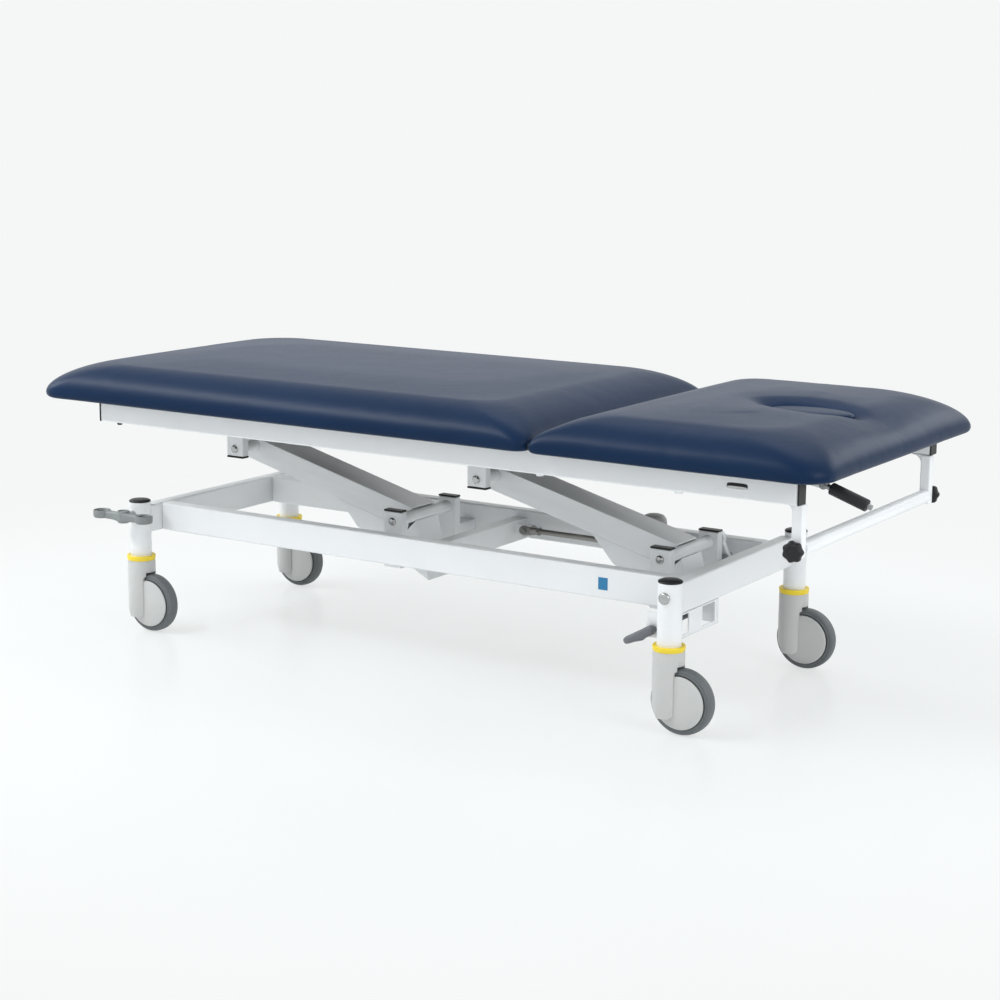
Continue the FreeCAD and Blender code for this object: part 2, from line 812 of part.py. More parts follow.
# Top frame: rails, cross rails, hanging brackets, black caps and upper pivot bolts
top_z = (top_rail_bottom, top_rail_top)
top_x = (d("top_rail_foot") + d("end_cap"), d("top_rail_head") - d("end_cap"))
top_rails = []
end_caps = []
for side in (-1, 1):
    limits = (top_rail_inner, top_rail_outer) if side == 1 else (-top_rail_outer, -top_rail_inner)
    top_rails.append(hollow("X", top_x, limits, top_z, d("rail_wall")))
    end_caps.append(box((d("top_rail_foot"), top_x[0]), limits, top_z))
    end_caps.append(box((top_x[1], d("top_rail_head")), limits, top_z))
node("top_side_rails", group(*top_rails))
half_cross = d("top_rail_width") / 2
hinge_cross_x = hinge_x - 33
top_crosses = []
for centre in (d("top_rail_foot") + half_cross + 6, foot_upper_x, head_upper_x, hinge_cross_x):
    span_x = (centre - half_cross, centre + half_cross)
    top_crosses.append(hollow("Y", span_x, (-top_rail_inner, top_rail_inner), top_z, d("rail_wall")))
node("top_cross_rails", group(*top_crosses))
brackets = []
bolt_spots = []
for centre in (foot_upper_x, head_upper_x):
    for side in (-1, 1):
        middle = d("lift_gauge") / 2 * side
        span_y = (middle - d("lift_post_width") / 2, middle + d("lift_post_width") / 2)
        span_x = (centre - post_half, centre + post_half)
        span_z = (bracket_bottom + d("lift_cap"), top_rail_bottom)
        tube = hollow("Z", span_x, span_y, span_z, d("rail_wall"))
        drill = cylinder("Y", centre, span_y[0] - 1, upper_height, bolt_bore, d("lift_post_width") + 2)
        brackets.append(cut(tube, drill))
        end_caps.append(box(span_x, span_y, (bracket_bottom, span_z[0])))
        bolt_spots.append((centre, upper_height, side))
node("upper_brackets", group(*brackets))
node("top_pivot_bolts", bolts(bolt_spots))
node("top_end_caps", group(*end_caps))


# Boards and the piano hinge between them
board_z = (top_rail_top, board_top)
leaf = d("leaf_thickness")
foot_board_end = hinge_x - 7
head_board_start = hinge_x + 7


def board_block(outer_x, joint_x, half, low, high, radius):
    # a flat block with its two corners at outer_x rounded
    start = FreeCAD.Vector(min(outer_x, joint_x), -half, low)
    block = Part.makeBox(abs(joint_x - outer_x), half * 2, high - low, start)
    rounded = []
    for edge in block.Edges:
        first, last = edge.Vertexes[0], edge.Vertexes[-1]
        if abs(first.Z - last.Z) > 1 and abs(first.X - outer_x) < 0.1:
            rounded.append(edge)
    return block.makeFillet(radius, rounded)


board_half = SIZES["pad_half_width"] - SIZES["board_inset"]
board_corner = SIZES["corner_radius"] - SIZES["board_inset"]
foot_outer = SIZES["foot_pad_start"] + SIZES["board_inset"]
head_outer = SIZES["head_pad_end"] - SIZES["board_inset"]
foot_board = doc.addObject("Part::Feature", "foot_board_block")
foot_board.Shape = board_block(
    foot_outer, foot_board_end.value, board_half, top_rail_top.value, board_top.value, board_corner
)
node("foot_board", foot_board)


def oval(length, width, z, x=d("hole_x")):
    item = doc.addObject("Part::Ellipse", "oval")
    bind(item, "MajorRadius", length / 2)
    bind(item, "MinorRadius", width / 2)
    return place(item, x, 0, z)


def oval_prism(length, width, z, height):
    item = doc.addObject("Part::Extrusion", "prism")
    item.Base = oval(length, width, z)
    item.DirMode = "Custom"
    item.Dir = FreeCAD.Vector(0, 0, 1)
    item.Solid = True
    bind(item, "LengthFwd", height)
    return item


hole_depth = d("board_thickness") + d("pad_rise") + d("pad_crown") + 30
hole_prism = oval_prism(d("hole_length"), d("hole_width"), top_rail_top - 5, hole_depth)
head_board_blank = doc.addObject("Part::Feature", "head_board_block")
head_board_blank.Shape = board_block(
    head_outer, head_board_start.value, board_half, top_rail_top.value, board_top.value, board_corner
)
node("head_board", cut(head_board_blank, hole_prism))
knuckle_count = 9
knuckle_pitch = hinge_length / knuckle_count
half_hinge = hinge_length / 2
foot_leaf = [box((foot_board_end, foot_board_end + leaf), (-half_hinge, half_hinge), board_z)]
head_leaf = [box((head_board_start - leaf, head_board_start), (-half_hinge, half_hinge), board_z)]
pin_bore = d("hinge_pin_radius") + d("fit")
for index in range(knuckle_count):
    low = -half_hinge + knuckle_pitch * index + 0.3
    width = knuckle_pitch - 0.6
    pieces = foot_leaf if index % 2 == 0 else head_leaf
    side = -1 if index % 2 == 0 else 1
    inner = hinge_x + 3.2 * side
    outer = hinge_x + 5.4 * side
    limits = (inner, outer) if side == 1 else (outer, inner)
    web = box(limits, (low, low + width), (board_top - 8, hinge_height))
    knuckle = cylinder("Y", hinge_x, low, hinge_height, d("knuckle_radius"), width)
    if pieces is foot_leaf:
        pieces.append(fuse(web, knuckle))
        continue
    bore = cylinder("Y", hinge_x, low - 1, hinge_height, pin_bore, width + 2)
    pieces.append(cut(fuse(web, knuckle), bore))
hinge_pin = cylinder(
    "Y", hinge_x, -half_hinge + 1, hinge_height, d("hinge_pin_radius"), hinge_length - 2
)
node("hinge_foot_leaf", fuse(hinge_pin, *foot_leaf))
node("hinge_head_leaf", fuse(*head_leaf))


# Cushions: lofts through plan outlines that roll in towards a crowned top, wrapped round the boards
def plan_wire(x0, x1, half, radii, draw, z):
    # radii are those of the corners at x0 and at x1
    def at(x, y):
        return FreeCAD.Vector(x, y, z)

    first, last = radii
    first_bow = first * (1 - math.sqrt(0.5))
    last_bow = last * (1 - math.sqrt(0.5))
    middle = (x0 + x1) / 2
    side = half - draw
    stops = [
        Part.Arc(at(x0 + first, -half), at(middle, -side), at(x1 - last, -half)),
        Part.Arc(at(x1 - last, -half), at(x1 - last_bow, -half + last_bow), at(x1, -half + last)),
        Part.Arc(at(x1, -half + last), at(x1 - draw, 0), at(x1, half - last)),
        Part.Arc(at(x1, half - last), at(x1 - last_bow, half - last_bow), at(x1 - last, half)),
        Part.Arc(at(x1 - last, half), at(middle, side), at(x0 + first, half)),
        Part.Arc(at(x0 + first, half), at(x0 + first_bow, half - first_bow), at(x0, half - first)),
        Part.Arc(at(x0, half - first), at(x0 + draw, 0), at(x0, -half + first)),
        Part.Arc(at(x0, -half + first), at(x0 + first_bow, -half + first_bow), at(x0 + first, -half)),
    ]
    return Part.Wire([stop.toShape() for stop in stops])


def cushion(x0, x1, radii, outer_x, joint_x):
    half = SIZES["pad_half_width"]
    bottom = top_rail_top.value - SIZES["pad_wrap"]
    foot = SIZES["pad_foot_roll"]
    shoulder = board_top.value + SIZES["pad_rise"]
    rise = shoulder - bottom - foot
    draw = SIZES["draw_in"]
    power = SIZES["roll_power"]
    wires = []
    for inset, height in ((foot * 0.5, 0.0), (foot * 0.13, foot * 0.4), (0.0, foot)):
        tucked = [radius - inset for radius in radii]
        wires.append(plan_wire(x0 + inset, x1 - inset, half - inset, tucked, draw, bottom + height))
    for share in (0.2, 0.4, 0.58, 0.73, 0.85, 0.94, 0.99):
        inset = 1 - (1 - share**power) ** (1 / power)
        end = SIZES["end_roll"] * inset
        side = SIZES["side_roll"] * inset
        grown = [radius + side * 0.3 for radius in radii]
        wires.append(plan_wire(x0 + end, x1 - end, half - side, grown, draw, bottom + foot + rise * share))
    end = SIZES["end_roll"] * 1.5
    side = SIZES["side_roll"] * 2.2
    grown = [radius + 40 for radius in radii]
    wires.append(plan_wire(x0 + end, x1 - end, half - side, grown, draw, shoulder + SIZES["pad_crown"]))
    clearance = SIZES["gap"]
    outwards = math.copysign(1, outer_x - joint_x)
    pocket = board_block(
        outer_x + outwards * clearance,
        joint_x - outwards * SIZES["board_inset"],
        board_half + clearance,
        bottom - 1,
        board_top.value,
        board_corner,
    )
    return Part.makeLoft(wires, True, True).cut(pocket)


outer_radius = SIZES["corner_radius"]
joint_radius = SIZES["joint_corner"]
foot_pad = doc.addObject("Part::Feature", "foot_cushion")
foot_pad.Shape = cushion(
    SIZES["foot_pad_start"],
    SIZES["foot_pad_end"],
    (outer_radius, joint_radius),
    foot_outer,
    foot_board_end.value,
)
node("foot_pad", foot_pad)
head_blank = doc.addObject("Part::Feature", "head_cushion")
head_blank.Shape = cushion(
    SIZES["head_pad_start"],
    SIZES["head_pad_end"],
    (joint_radius, outer_radius),
    head_outer,
    head_board_start.value,
)
dip = doc.addObject("Part::Loft", "dip")
pad_top = board_top + d("pad_rise") + d("pad_crown")
dip.Sections = [
    oval(d("hole_length"), d("hole_width"), pad_top - d("hole_dip")),
    oval(d("hole_length") + 90, d("hole_width") + 90, pad_top + 2),
]
dip.Solid = True
dip.Ruled = True
node("head_pad", cut(head_blank, hole_prism, dip))
plug_length = d("hole_length") - d("plug_gap") * 2
plug_width = d("hole_width") - d("plug_gap") * 2
plug_height = d("board_thickness") + d("pad_rise") + d("pad_crown") - d("hole_dip") - 14
plug_core = oval_prism(plug_length, plug_width, top_rail_top, plug_height)
node("breathing_plug", plug_core)


# Head frame with its strut lug and lever bracket, hung under the head board
half_bar = d("head_bar") / 2
bar_z = (top_rail_top - d("head_bar"), top_rail_top)
head_bars = []
for side in (-1, 1):
    centre = head_bar_y * side
    span = (centre - half_bar, centre + half_bar)
    head_bars.append(hollow("X", (d("head_bar_start"), d("head_bar_end")), span, bar_z, d("rail_wall")))
bar_inner = head_bar_y - half_bar
end_bar_x = (d("head_bar_end") - 40, d("head_bar_end") - 40 + d("head_bar"))
head_bars.append(hollow("Y", end_bar_x, (-bar_inner, bar_inner), bar_z, d("rail_wall")))
end_lugs = []
for side in (-1, 1):
    limits = (as_size(8.5), as_size(13.5)) if side == 1 else (as_size(-13.5), as_size(-8.5))
    plate_lug = box((d("strut_end_x") - 12, end_bar_x[0]), limits, (strut_end_height - 12, top_rail_top))
    end_lugs.append(plate_lug)
strut_eye_bore = d("strut_pin_radius") + d("fit")
end_pin = cylinder("Y", d("strut_end_x"), -13.5, strut_end_height, d("strut_pin_radius"), 27)
node("strut_head_lug", fuse(end_lugs[0], end_lugs[1], end_pin))
bracket_y = (-head_bar_y - half_bar - 4, -head_bar_y - half_bar)
lever_plate = upright(
    [
        (d("lever_pivot_x") - 82, top_rail_top - 1),
        (d("lever_pivot_x") - 82, lever_pivot_height + 4),
        (d("lever_pivot_x") - 4, lever_pivot_height - 9),
        (d("lever_pivot_x") + 5, lever_pivot_height - 5),
        (d("lever_pivot_x") + 5, top_rail_top - 1),
    ],
    4,
)
place(lever_plate, 0, -head_bar_y - half_bar - 2, 0)
lever_drilling = cylinder(
    "Y", d("lever_pivot_x"), bracket_y[0] - 1, lever_pivot_height, as_size(3) + d("fit"), 6
)
node("head_frame", group(cut(lever_plate, lever_drilling), *head_bars))


# Gas strut between the hinge cross rail and the head frame
base_lugs = []
cross_face = hinge_cross_x + half_cross
lug_inner = d("strut_radius") + 0.5
lug_outer = lug_inner + 5
for side in (-1, 1):
    limits = (lug_inner, lug_outer) if side == 1 else (-lug_outer, -lug_inner)
    lug_span = (strut_base_height - 12, top_rail_bottom + 20)
    base_lugs.append(box((cross_face, hinge_x + 12), limits, lug_span))
base_pin = cylinder("Y", hinge_x, -lug_outer, strut_base_height, d("strut_pin_radius"), lug_outer * 2)
node("strut_base_lug", fuse(base_lugs[0], base_lugs[1], base_pin))
strut_run = d("strut_end_x") - hinge_x
strut_climb = strut_end_height - strut_base_height
strut_angle = Size(
    f"atan({strut_climb.text} / {strut_run.text}) / 1deg",
    math.degrees(math.atan(strut_climb.value / strut_run.value)),
)
strut_eye = cylinder("Y", 0, -11, 0, d("strut_eye"), 22)
strut_shell = cylinder("X", 10, 0, 0, d("strut_radius"), d("strut_length") - 10)
strut_inside = cylinder("X", 22, 0, 0, d("strut_bore"), d("strut_length"))
eye_drill = cylinder("Y", 0, -12, 0, strut_eye_bore, 24)
strut_barrel = cut(fuse(strut_eye, strut_shell), strut_inside, eye_drill)
strut_place = (hinge_x, 0, strut_base_height, (0, 1, 0), -strut_angle)
node("strut_cylinder", copied(strut_barrel, *strut_place))
rod_eye = cylinder("Y", 0, -8, 0, d("strut_eye"), 16)
strut_rod = cylinder("X", -d("strut_rod_length") - 8, 0, 0, d("strut_rod_radius"), d("strut_rod_length"))
rod_drill = cylinder("Y", 0, -9, 0, strut_eye_bore, 18)
rod_piece = cut(fuse(rod_eye, strut_rod), rod_drill)
node(
    "strut_rod", copied(rod_piece, d("strut_end_x"), 0, strut_end_height, (0, 1, 0), -strut_angle)
)


# Release lever: a cranked rod with a pivot pin, and its grip
lever_length = d("release_grip_start") + d("release_grip_length") + 8
lever_rod = cylinder("X", 0, 0, 0, d("release_rod_radius"), lever_length)
lever_pivot = cylinder("Y", 0, -3, 0, as_size(3), release_y - head_bar_y - half_bar + 3)
lever_boss = cylinder("Y", 0, -4, 0, 8, release_y - head_bar_y - half_bar - 4 + 3.7)
release_place = (d("lever_pivot_x"), -release_y, lever_pivot_height, (0, 1, 0), d("release_angle"))
node("release_lever", copied(fuse(lever_rod, lever_pivot, lever_boss), *release_place))
grip_core = cylinder("X", d("release_grip_start"), 0, 0, d("release_grip_radius"), d("release_grip_length"))
grip_bore = cylinder("X", 0, 0, 0, d("release_rod_radius") + d("fit"), lever_length)
node("lever_grip", copied(cut(grip_core, grip_bore), *release_place))


# Paper roll holder: posts, bar and a star knob on each side
half_post = d("paper_post") / 2
stud_bore = d("stud_radius") + d("fit")
paper_posts = []
for side in (-1, 1):
    middle = paper_post_y * side
    span_y = (middle - half_post, middle + half_post)
    span_x = (d("paper_x") - half_post, d("paper_x") + half_post)
    tube = hollow("Z", span_x, span_y, (paper_post_bottom, top_rail_bottom), 2)
    drill = cylinder("Y", d("paper_x"), span_y[0] - 1, paper_height, stud_bore, d("paper_post") + 2)
    paper_posts.append(cut(tube, drill))
node("paper_posts", group(*paper_posts))
bar_half = paper_post_y - half_post
bar_tube = turned(
    [
        (stud_bore, -bar_half),
        (d("paper_bar_radius"), -bar_half),
        (d("paper_bar_radius"), bar_half),
        (stud_bore, bar_half),
        (stud_bore, bar_half - 20),
        (d("paper_bar_radius") - 2, bar_half - 20),
        (d("paper_bar_radius") - 2, -bar_half + 20),
        (stud_bore, -bar_half + 20),
    ]
)
node("paper_bar", place(bar_tube, d("paper_x"), 0, paper_height, (1, 0, 0), -90))
knob_disc = cylinder("Z", 0, 0, 0, d("knob_radius") * 0.72, d("knob_thickness"))
lobes = []
for index in range(6):
    angle = 60 * index
    lobe_x = d("knob_radius") * 0.68 * math.cos(math.radians(angle))
    lobe_y = d("knob_radius") * 0.68 * math.sin(math.radians(angle))
    lobes.append(cylinder("Z", lobe_x, lobe_y, 0, d("knob_radius") * 0.32, d("knob_thickness")))
stud_reach = d("paper_post") + 15
knob_stud = cylinder("Z", 0, 0, -stud_reach, d("stud_radius"), stud_reach + 1)
knob = fuse(knob_disc, knob_stud, *lobes)
knob_y = paper_post_y + half_post + d("gap")
node("knob_near", copied(knob, d("paper_x"), -knob_y, paper_height, (1, 0, 0), 90))
node("knob_far", copied(knob, d("paper_x"), knob_y, paper_height, (1, 0, 0), -90))


# Foot brake: a bar through both foot posts with a rocker pedal on its near end
bar_end = pedal_y + d("pedal_width") / 2 - d("pedal_skin") - d("gap")
bar_length = bar_end + d("foot_track") / 2 + d("post_radius") + 6
node(
    "foot_brake_bar",
    cylinder("Y", foot_post_x, -bar_end, brake_height, d("brake_bar_radius"), bar_length),
)
pedal_low = -pedal_y - d("pedal_width") / 2
pedal_hub = cylinder("Y", foot_post_x, pedal_low, brake_height, 15, d("pedal_width"))
half_thick = d("pedal_thickness") / 2
pedal_z = brake_height - half_thick
pedal_web = box(
    (foot_post_x - d("pedal_foot_lobe"), foot_post_x + d("pedal_head_lobe")),
    (pedal_low + 5, pedal_low + d("pedal_width") - 5),
    (pedal_z + 1, pedal_z + d("pedal_thickness") - 1),
)
lobe_y = -pedal_y - d("pedal_lobe_radius") + d("pedal_width") / 2
foot_lobe = cylinder(
    "Z", foot_post_x - d("pedal_foot_lobe"), lobe_y, pedal_z, d("pedal_lobe_radius"), d("pedal_thickness")
)
head_lobe = cylinder(
    "Z", foot_post_x + d("pedal_head_lobe"), lobe_y, pedal_z, d("pedal_lobe_radius"), d("pedal_thickness")
)
pedal_drill = cylinder(
    "Y", foot_post_x, pedal_low + d("pedal_skin"), brake_height, bar_bore, d("pedal_width")
)
node("foot_pedal", cut(fuse(pedal_hub, pedal_web, foot_lobe, head_lobe), pedal_drill))


# Head brake: a folded bracket under the head cross rail, with a shaft, cam and single pedal
front_x = head_rail_x + half_rail
bracket_back = d("head_pedal_x") - 14
plate_y = (-brake_plate_near, -d("brake_plate_far"))
plate_z = (brake_plate_bottom, d("rail_bottom"))
front_plate = box((front_x - d("brake_plate"), front_x), plate_y, plate_z)
near_cheek = box((bracket_back, front_x), (plate_y[0], plate_y[0] + d("brake_plate")), plate_z)
far_cheek = box((bracket_back, front_x), (plate_y[1] - d("brake_plate"), plate_y[1]), plate_z)
window_z = (brake_plate_bottom + 7, d("rail_bottom") - 3)
window_x = (front_x - d("brake_plate") - 1, front_x + 1)
near_window = box(window_x, (plate_y[0] + 9, plate_y[0] + 47), window_z)
far_window = box(window_x, (plate_y[1] - 67, plate_y[1] - 15), window_z)
shaft_radius = 7
shaft_run = plate_y[1] - plate_y[0] + 2
shaft_drill = cylinder(
    "Y", d("head_pedal_x"), plate_y[0] - 1, head_pedal_height, shaft_radius + d("fit"), shaft_run
)
node(
    "pedal_bracket",
    cut(fuse(front_plate, near_cheek, far_cheek), near_window, far_window, shaft_drill),
)
shaft_low = -head_pedal_y - head_pedal_half + d("pedal_skin") + d("gap")
brake_shaft = cylinder(
    "Y", d("head_pedal_x"), shaft_low, head_pedal_height, shaft_radius, plate_y[1] - shaft_low + 4
)
cam = cylinder("Y", d("head_pedal_x") + 12, plate_y[0] + 18, head_pedal_height, 15, as_size(20))
node("head_brake_shaft", fuse(brake_shaft, cam))
head_hub = cylinder("Y", 0, -head_pedal_half, 0, 14, head_pedal_half * 2)
head_web = box((-d("head_pedal_reach"), as_size(0)), (as_size(-7), as_size(7)), (as_size(-8), as_size(8)))
tread = cylinder("Z", -d("head_pedal_reach"), 0, -9, 17, 18)
hub_start = -head_pedal_half + d("pedal_skin")
hub_drill = cylinder("Y", 0, hub_start, 0, shaft_radius + d("fit"), head_pedal_half * 2)
head_pedal = cut(fuse(head_hub, head_web, tread), hub_drill)
node(
    "head_pedal",
    copied(
        head_pedal,
        d("head_pedal_x"),
        -head_pedal_y,
        head_pedal_height,
        (0, 1, 0),
        -d("head_pedal_angle"),
    ),
)


# Check every object and write one STEP file for each node
doc.recompute()
for item in doc.Objects:
    if "Invalid" in item.State or "Error" in item.State:
        raise RuntimeError(f"{item.Name} did not recompute")
os.makedirs("parts", exist_ok=True)
for item in nodes:
    if item.Shape.isNull() or not item.Shape.isValid() or not item.Shape.Solids:
        raise RuntimeError(f"{item.Label} has no valid solid")
    item.Shape.exportStep(f"parts/{item.Label}.step")
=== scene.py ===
import math

import bmesh
import bpy
from mathutils import Matrix, Vector


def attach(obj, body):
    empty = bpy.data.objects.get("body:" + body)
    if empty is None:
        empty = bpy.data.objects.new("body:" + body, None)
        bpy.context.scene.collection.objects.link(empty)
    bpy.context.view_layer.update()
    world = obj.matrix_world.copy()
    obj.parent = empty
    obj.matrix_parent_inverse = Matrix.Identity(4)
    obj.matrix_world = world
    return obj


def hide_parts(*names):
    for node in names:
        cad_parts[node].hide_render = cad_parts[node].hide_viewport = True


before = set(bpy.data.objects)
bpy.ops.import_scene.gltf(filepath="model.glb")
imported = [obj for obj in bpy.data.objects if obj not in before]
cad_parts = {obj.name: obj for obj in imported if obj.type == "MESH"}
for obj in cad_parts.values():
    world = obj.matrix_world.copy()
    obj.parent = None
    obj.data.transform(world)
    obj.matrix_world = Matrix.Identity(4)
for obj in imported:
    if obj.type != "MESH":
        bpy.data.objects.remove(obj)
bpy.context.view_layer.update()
scene = bpy.context.scene
scene.view_settings.view_transform = "Standard"


# Camera at the photograph's viewing angle: a long lens, off the head end's near corner,
# looking a little down on the couch.
CAMERA_SPOT = Vector((2.25335, -3.47963, 1.14636))
CAMERA_YAW = 0.5719
CAMERA_PITCH = 0.1949
CAMERA_ROLL = 0.007
view_dir = Vector(
    (
        -math.sin(CAMERA_YAW) * math.cos(CAMERA_PITCH),
        math.cos(CAMERA_YAW) * math.cos(CAMERA_PITCH),
        -math.sin(CAMERA_PITCH),
    )
)
level_right = Vector((math.cos(CAMERA_YAW), math.sin(CAMERA_YAW), 0))
level_up = level_right.cross(view_dir)
lean_right = level_right * math.cos(CAMERA_ROLL) + level_up * math.sin(CAMERA_ROLL)
lean_up = level_up * math.cos(CAMERA_ROLL) - level_right * math.sin(CAMERA_ROLL)
camera_data = bpy.data.cameras.new("studio_camera")
camera_data.sensor_width = 36
camera_data.lens = 73.6
camera_data.clip_end = 200
camera = bpy.data.objects.new("studio_camera", camera_data)
scene.collection.objects.link(camera)
turn = Matrix((lean_right, lean_up, -view_dir)).transposed()
camera.matrix_world = Matrix.Translation(CAMERA_SPOT) @ turn.to_4x4()
scene.camera = camera


# Studio: a pale floor that fades into a pale room, one soft light overhead and four round
# the couch, the strongest above its near side, that draw the rolled edges of the pads.
ROOM_WHITE = (0.913, 0.930, 0.925)
COOL_WHITE = (0.945, 0.975, 1.0)
LOW_ROOM_LEVEL = 1.22
HIGH_ROOM_LEVEL = 0.60
NEAR_ROOM_LEVEL = 0.72
FAR_ROOM_LEVEL = 0.70
FLOOR_TINT = (0.84, 0.85, 0.845)
FLOOR_SIZE = 60
FLOOR_DROP = 0.0005
FADE_START = 0.8
FADE_END = 2.2
FADE_LEAST = 0.66


def new_tree(material):
    material.use_nodes = True
    tree = material.node_tree
    tree.nodes.clear()
    return tree


def seen_rays(tree):
    # 1 for rays that look at the room or the floor: from the camera, a gloss or through glass
    path = tree.nodes.new("ShaderNodeLightPath")
    shine = tree.nodes.new("ShaderNodeMath")
    shine.operation = "ADD"
    seen = tree.nodes.new("ShaderNodeMath")
    seen.operation = "ADD"
    seen.use_clamp = True
    tree.links.new(path.outputs["Is Glossy Ray"], shine.inputs[0])
    tree.links.new(path.outputs["Is Transmission Ray"], shine.inputs[1])
    tree.links.new(path.outputs["Is Camera Ray"], seen.inputs[0])
    tree.links.new(shine.outputs[0], seen.inputs[1])
    return seen.outputs[0]


room = bpy.data.worlds.new("studio_room")
scene.world = room
room.use_nodes = True
room_tree = room.node_tree
room_tree.nodes.clear()
room_out = room_tree.nodes.new("ShaderNodeOutputWorld")
room_mix = room_tree.nodes.new("ShaderNodeMixShader")
room_light = room_tree.nodes.new("ShaderNodeBackground")
room_light.inputs["Color"].default_value = (*COOL_WHITE, 1)
room_way = room_tree.nodes.new("ShaderNodeTexCoord")
room_split = room_tree.nodes.new("ShaderNodeSeparateXYZ")
room_fall = room_tree.nodes.new("ShaderNodeMapRange")
room_fall.inputs["From Min"].default_value = 0.30
room_fall.inputs["From Max"].default_value = 0.85
room_fall.inputs["To Min"].default_value = LOW_ROOM_LEVEL
room_fall.inputs["To Max"].default_value = HIGH_ROOM_LEVEL
room_tree.links.new(room_way.outputs["Generated"], room_split.inputs[0])
room_tree.links.new(room_split.outputs["Z"], room_fall.inputs["Value"])
room_side = room_tree.nodes.new("ShaderNodeMapRange")
room_side.inputs["From Min"].default_value = -1.0
room_side.inputs["From Max"].default_value = 1.0
room_front = room_tree.nodes.new("ShaderNodeValToRGB")
room_front.color_ramp.elements[0].position = 0.10
room_front.color_ramp.elements[0].color = (NEAR_ROOM_LEVEL, NEAR_ROOM_LEVEL, NEAR_ROOM_LEVEL, 1)
room_front.color_ramp.elements[1].position = 0.95
room_front.color_ramp.elements[1].color = (FAR_ROOM_LEVEL, FAR_ROOM_LEVEL, FAR_ROOM_LEVEL, 1)
room_middle = room_front.color_ramp.elements.new(0.55)
room_middle.color = (1.0, 1.0, 1.0, 1)
room_level = room_tree.nodes.new("ShaderNodeMath")
room_level.operation = "MULTIPLY"
room_tree.links.new(room_split.outputs["Y"], room_side.inputs["Value"])
room_tree.links.new(room_side.outputs[0], room_front.inputs["Fac"])
room_tree.links.new(room_fall.outputs[0], room_level.inputs[0])
room_tree.links.new(room_front.outputs["Color"], room_level.inputs[1])
room_tree.links.new(room_level.outputs[0], room_light.inputs["Strength"])
room_seen = room_tree.nodes.new("ShaderNodeBackground")
room_seen.inputs["Color"].default_value = (*ROOM_WHITE, 1)
room_seen.inputs["Strength"].default_value = 1.0
room_tree.links.new(seen_rays(room_tree), room_mix.inputs[0])
room_tree.links.new(room_light.outputs[0], room_mix.inputs[1])
room_tree.links.new(room_seen.outputs[0], room_mix.inputs[2])
room_tree.links.new(room_mix.outputs[0], room_out.inputs["Surface"])

floor_mesh = bpy.data.meshes.new("studio_floor")
floor_build = bmesh.new()
bmesh.ops.create_grid(floor_build, x_segments=1, y_segments=1, size=FLOOR_SIZE)
floor_build.to_mesh(floor_mesh)
floor_build.free()
floor = bpy.data.objects.new("studio_floor", floor_mesh)
scene.collection.objects.link(floor)
floor.location.z = -FLOOR_DROP
floor_paint = bpy.data.materials.new("studio_floor")
floor_tree = new_tree(floor_paint)
floor_out = floor_tree.nodes.new("ShaderNodeOutputMaterial")
floor_mix = floor_tree.nodes.new("ShaderNodeMixShader")
floor_polish = floor_tree.nodes.new("ShaderNodeBsdfPrincipled")
floor_polish.inputs["Base Color"].default_value = (*FLOOR_TINT, 1)
floor_polish.inputs["Roughness"].default_value = 0.24
floor_polish.inputs["Specular IOR Level"].default_value = 0.35
floor_glow = floor_tree.nodes.new("ShaderNodeEmission")
floor_glow.inputs["Color"].default_value = (*ROOM_WHITE, 1)
floor_spot = floor_tree.nodes.new("ShaderNodeTexCoord")
floor_length = floor_tree.nodes.new("ShaderNodeVectorMath")
floor_length.operation = "LENGTH"
floor_fade = floor_tree.nodes.new("ShaderNodeMapRange")
floor_fade.inputs["From Min"].default_value = FADE_START
floor_fade.inputs["From Max"].default_value = FADE_END
floor_fade.inputs["To Min"].default_value = FADE_LEAST
floor_fade.inputs["To Max"].default_value = 1.0
floor_fade.interpolation_type = "SMOOTHSTEP"
floor_seen = floor_tree.nodes.new("ShaderNodeMath")
floor_seen.operation = "MULTIPLY"
floor_tree.links.new(floor_spot.outputs["Object"], floor_length.inputs[0])
floor_tree.links.new(floor_length.outputs["Value"], floor_fade.inputs["Value"])
floor_tree.links.new(floor_fade.outputs[0], floor_seen.inputs[0])
floor_tree.links.new(seen_rays(floor_tree), floor_seen.inputs[1])
floor_tree.links.new(floor_seen.outputs[0], floor_mix.inputs[0])
floor_tree.links.new(floor_polish.outputs[0], floor_mix.inputs[1])
floor_tree.links.new(floor_glow.outputs[0], floor_mix.inputs[2])
floor_tree.links.new(floor_mix.outputs[0], floor_out.inputs["Surface"])
floor_mesh.materials.append(floor_paint)


def soft_light(name, spot, aim, size, power):
    lamp = bpy.data.lights.new(name, "AREA")
    lamp.shape = "RECTANGLE"
    lamp.size = size[0]
    lamp.size_y = size[1]
    lamp.energy = power
    lamp.color = COOL_WHITE
    holder = bpy.data.objects.new(name, lamp)
    scene.collection.objects.link(holder)
    holder.location = spot
    holder.rotation_euler = (Vector(aim) - Vector(spot)).to_track_quat("-Z", "Y").to_euler()


soft_light("overhead_light", (-0.2, 1.2, 3.4), (0, 0, 0.4), (3.0, 1.2), 20)
soft_light("head_light", (3.2, -0.8, 1.9), (0.5, 0, 0.5), (1.4, 1.8), 38)
soft_light("near_light", (-2.3, -2.2, 3.3), (-0.3, 0, 0.45), (2.8, 0.5), 112)
soft_light("foot_light", (-3.6, -0.6, 2.1), (-0.9, 0, 0.5), (1.2, 1.0), 26)
soft_light("far_light", (1.5, 3.3, 1.9), (0.7, 0, 0.55), (1.8, 0.7), 12)


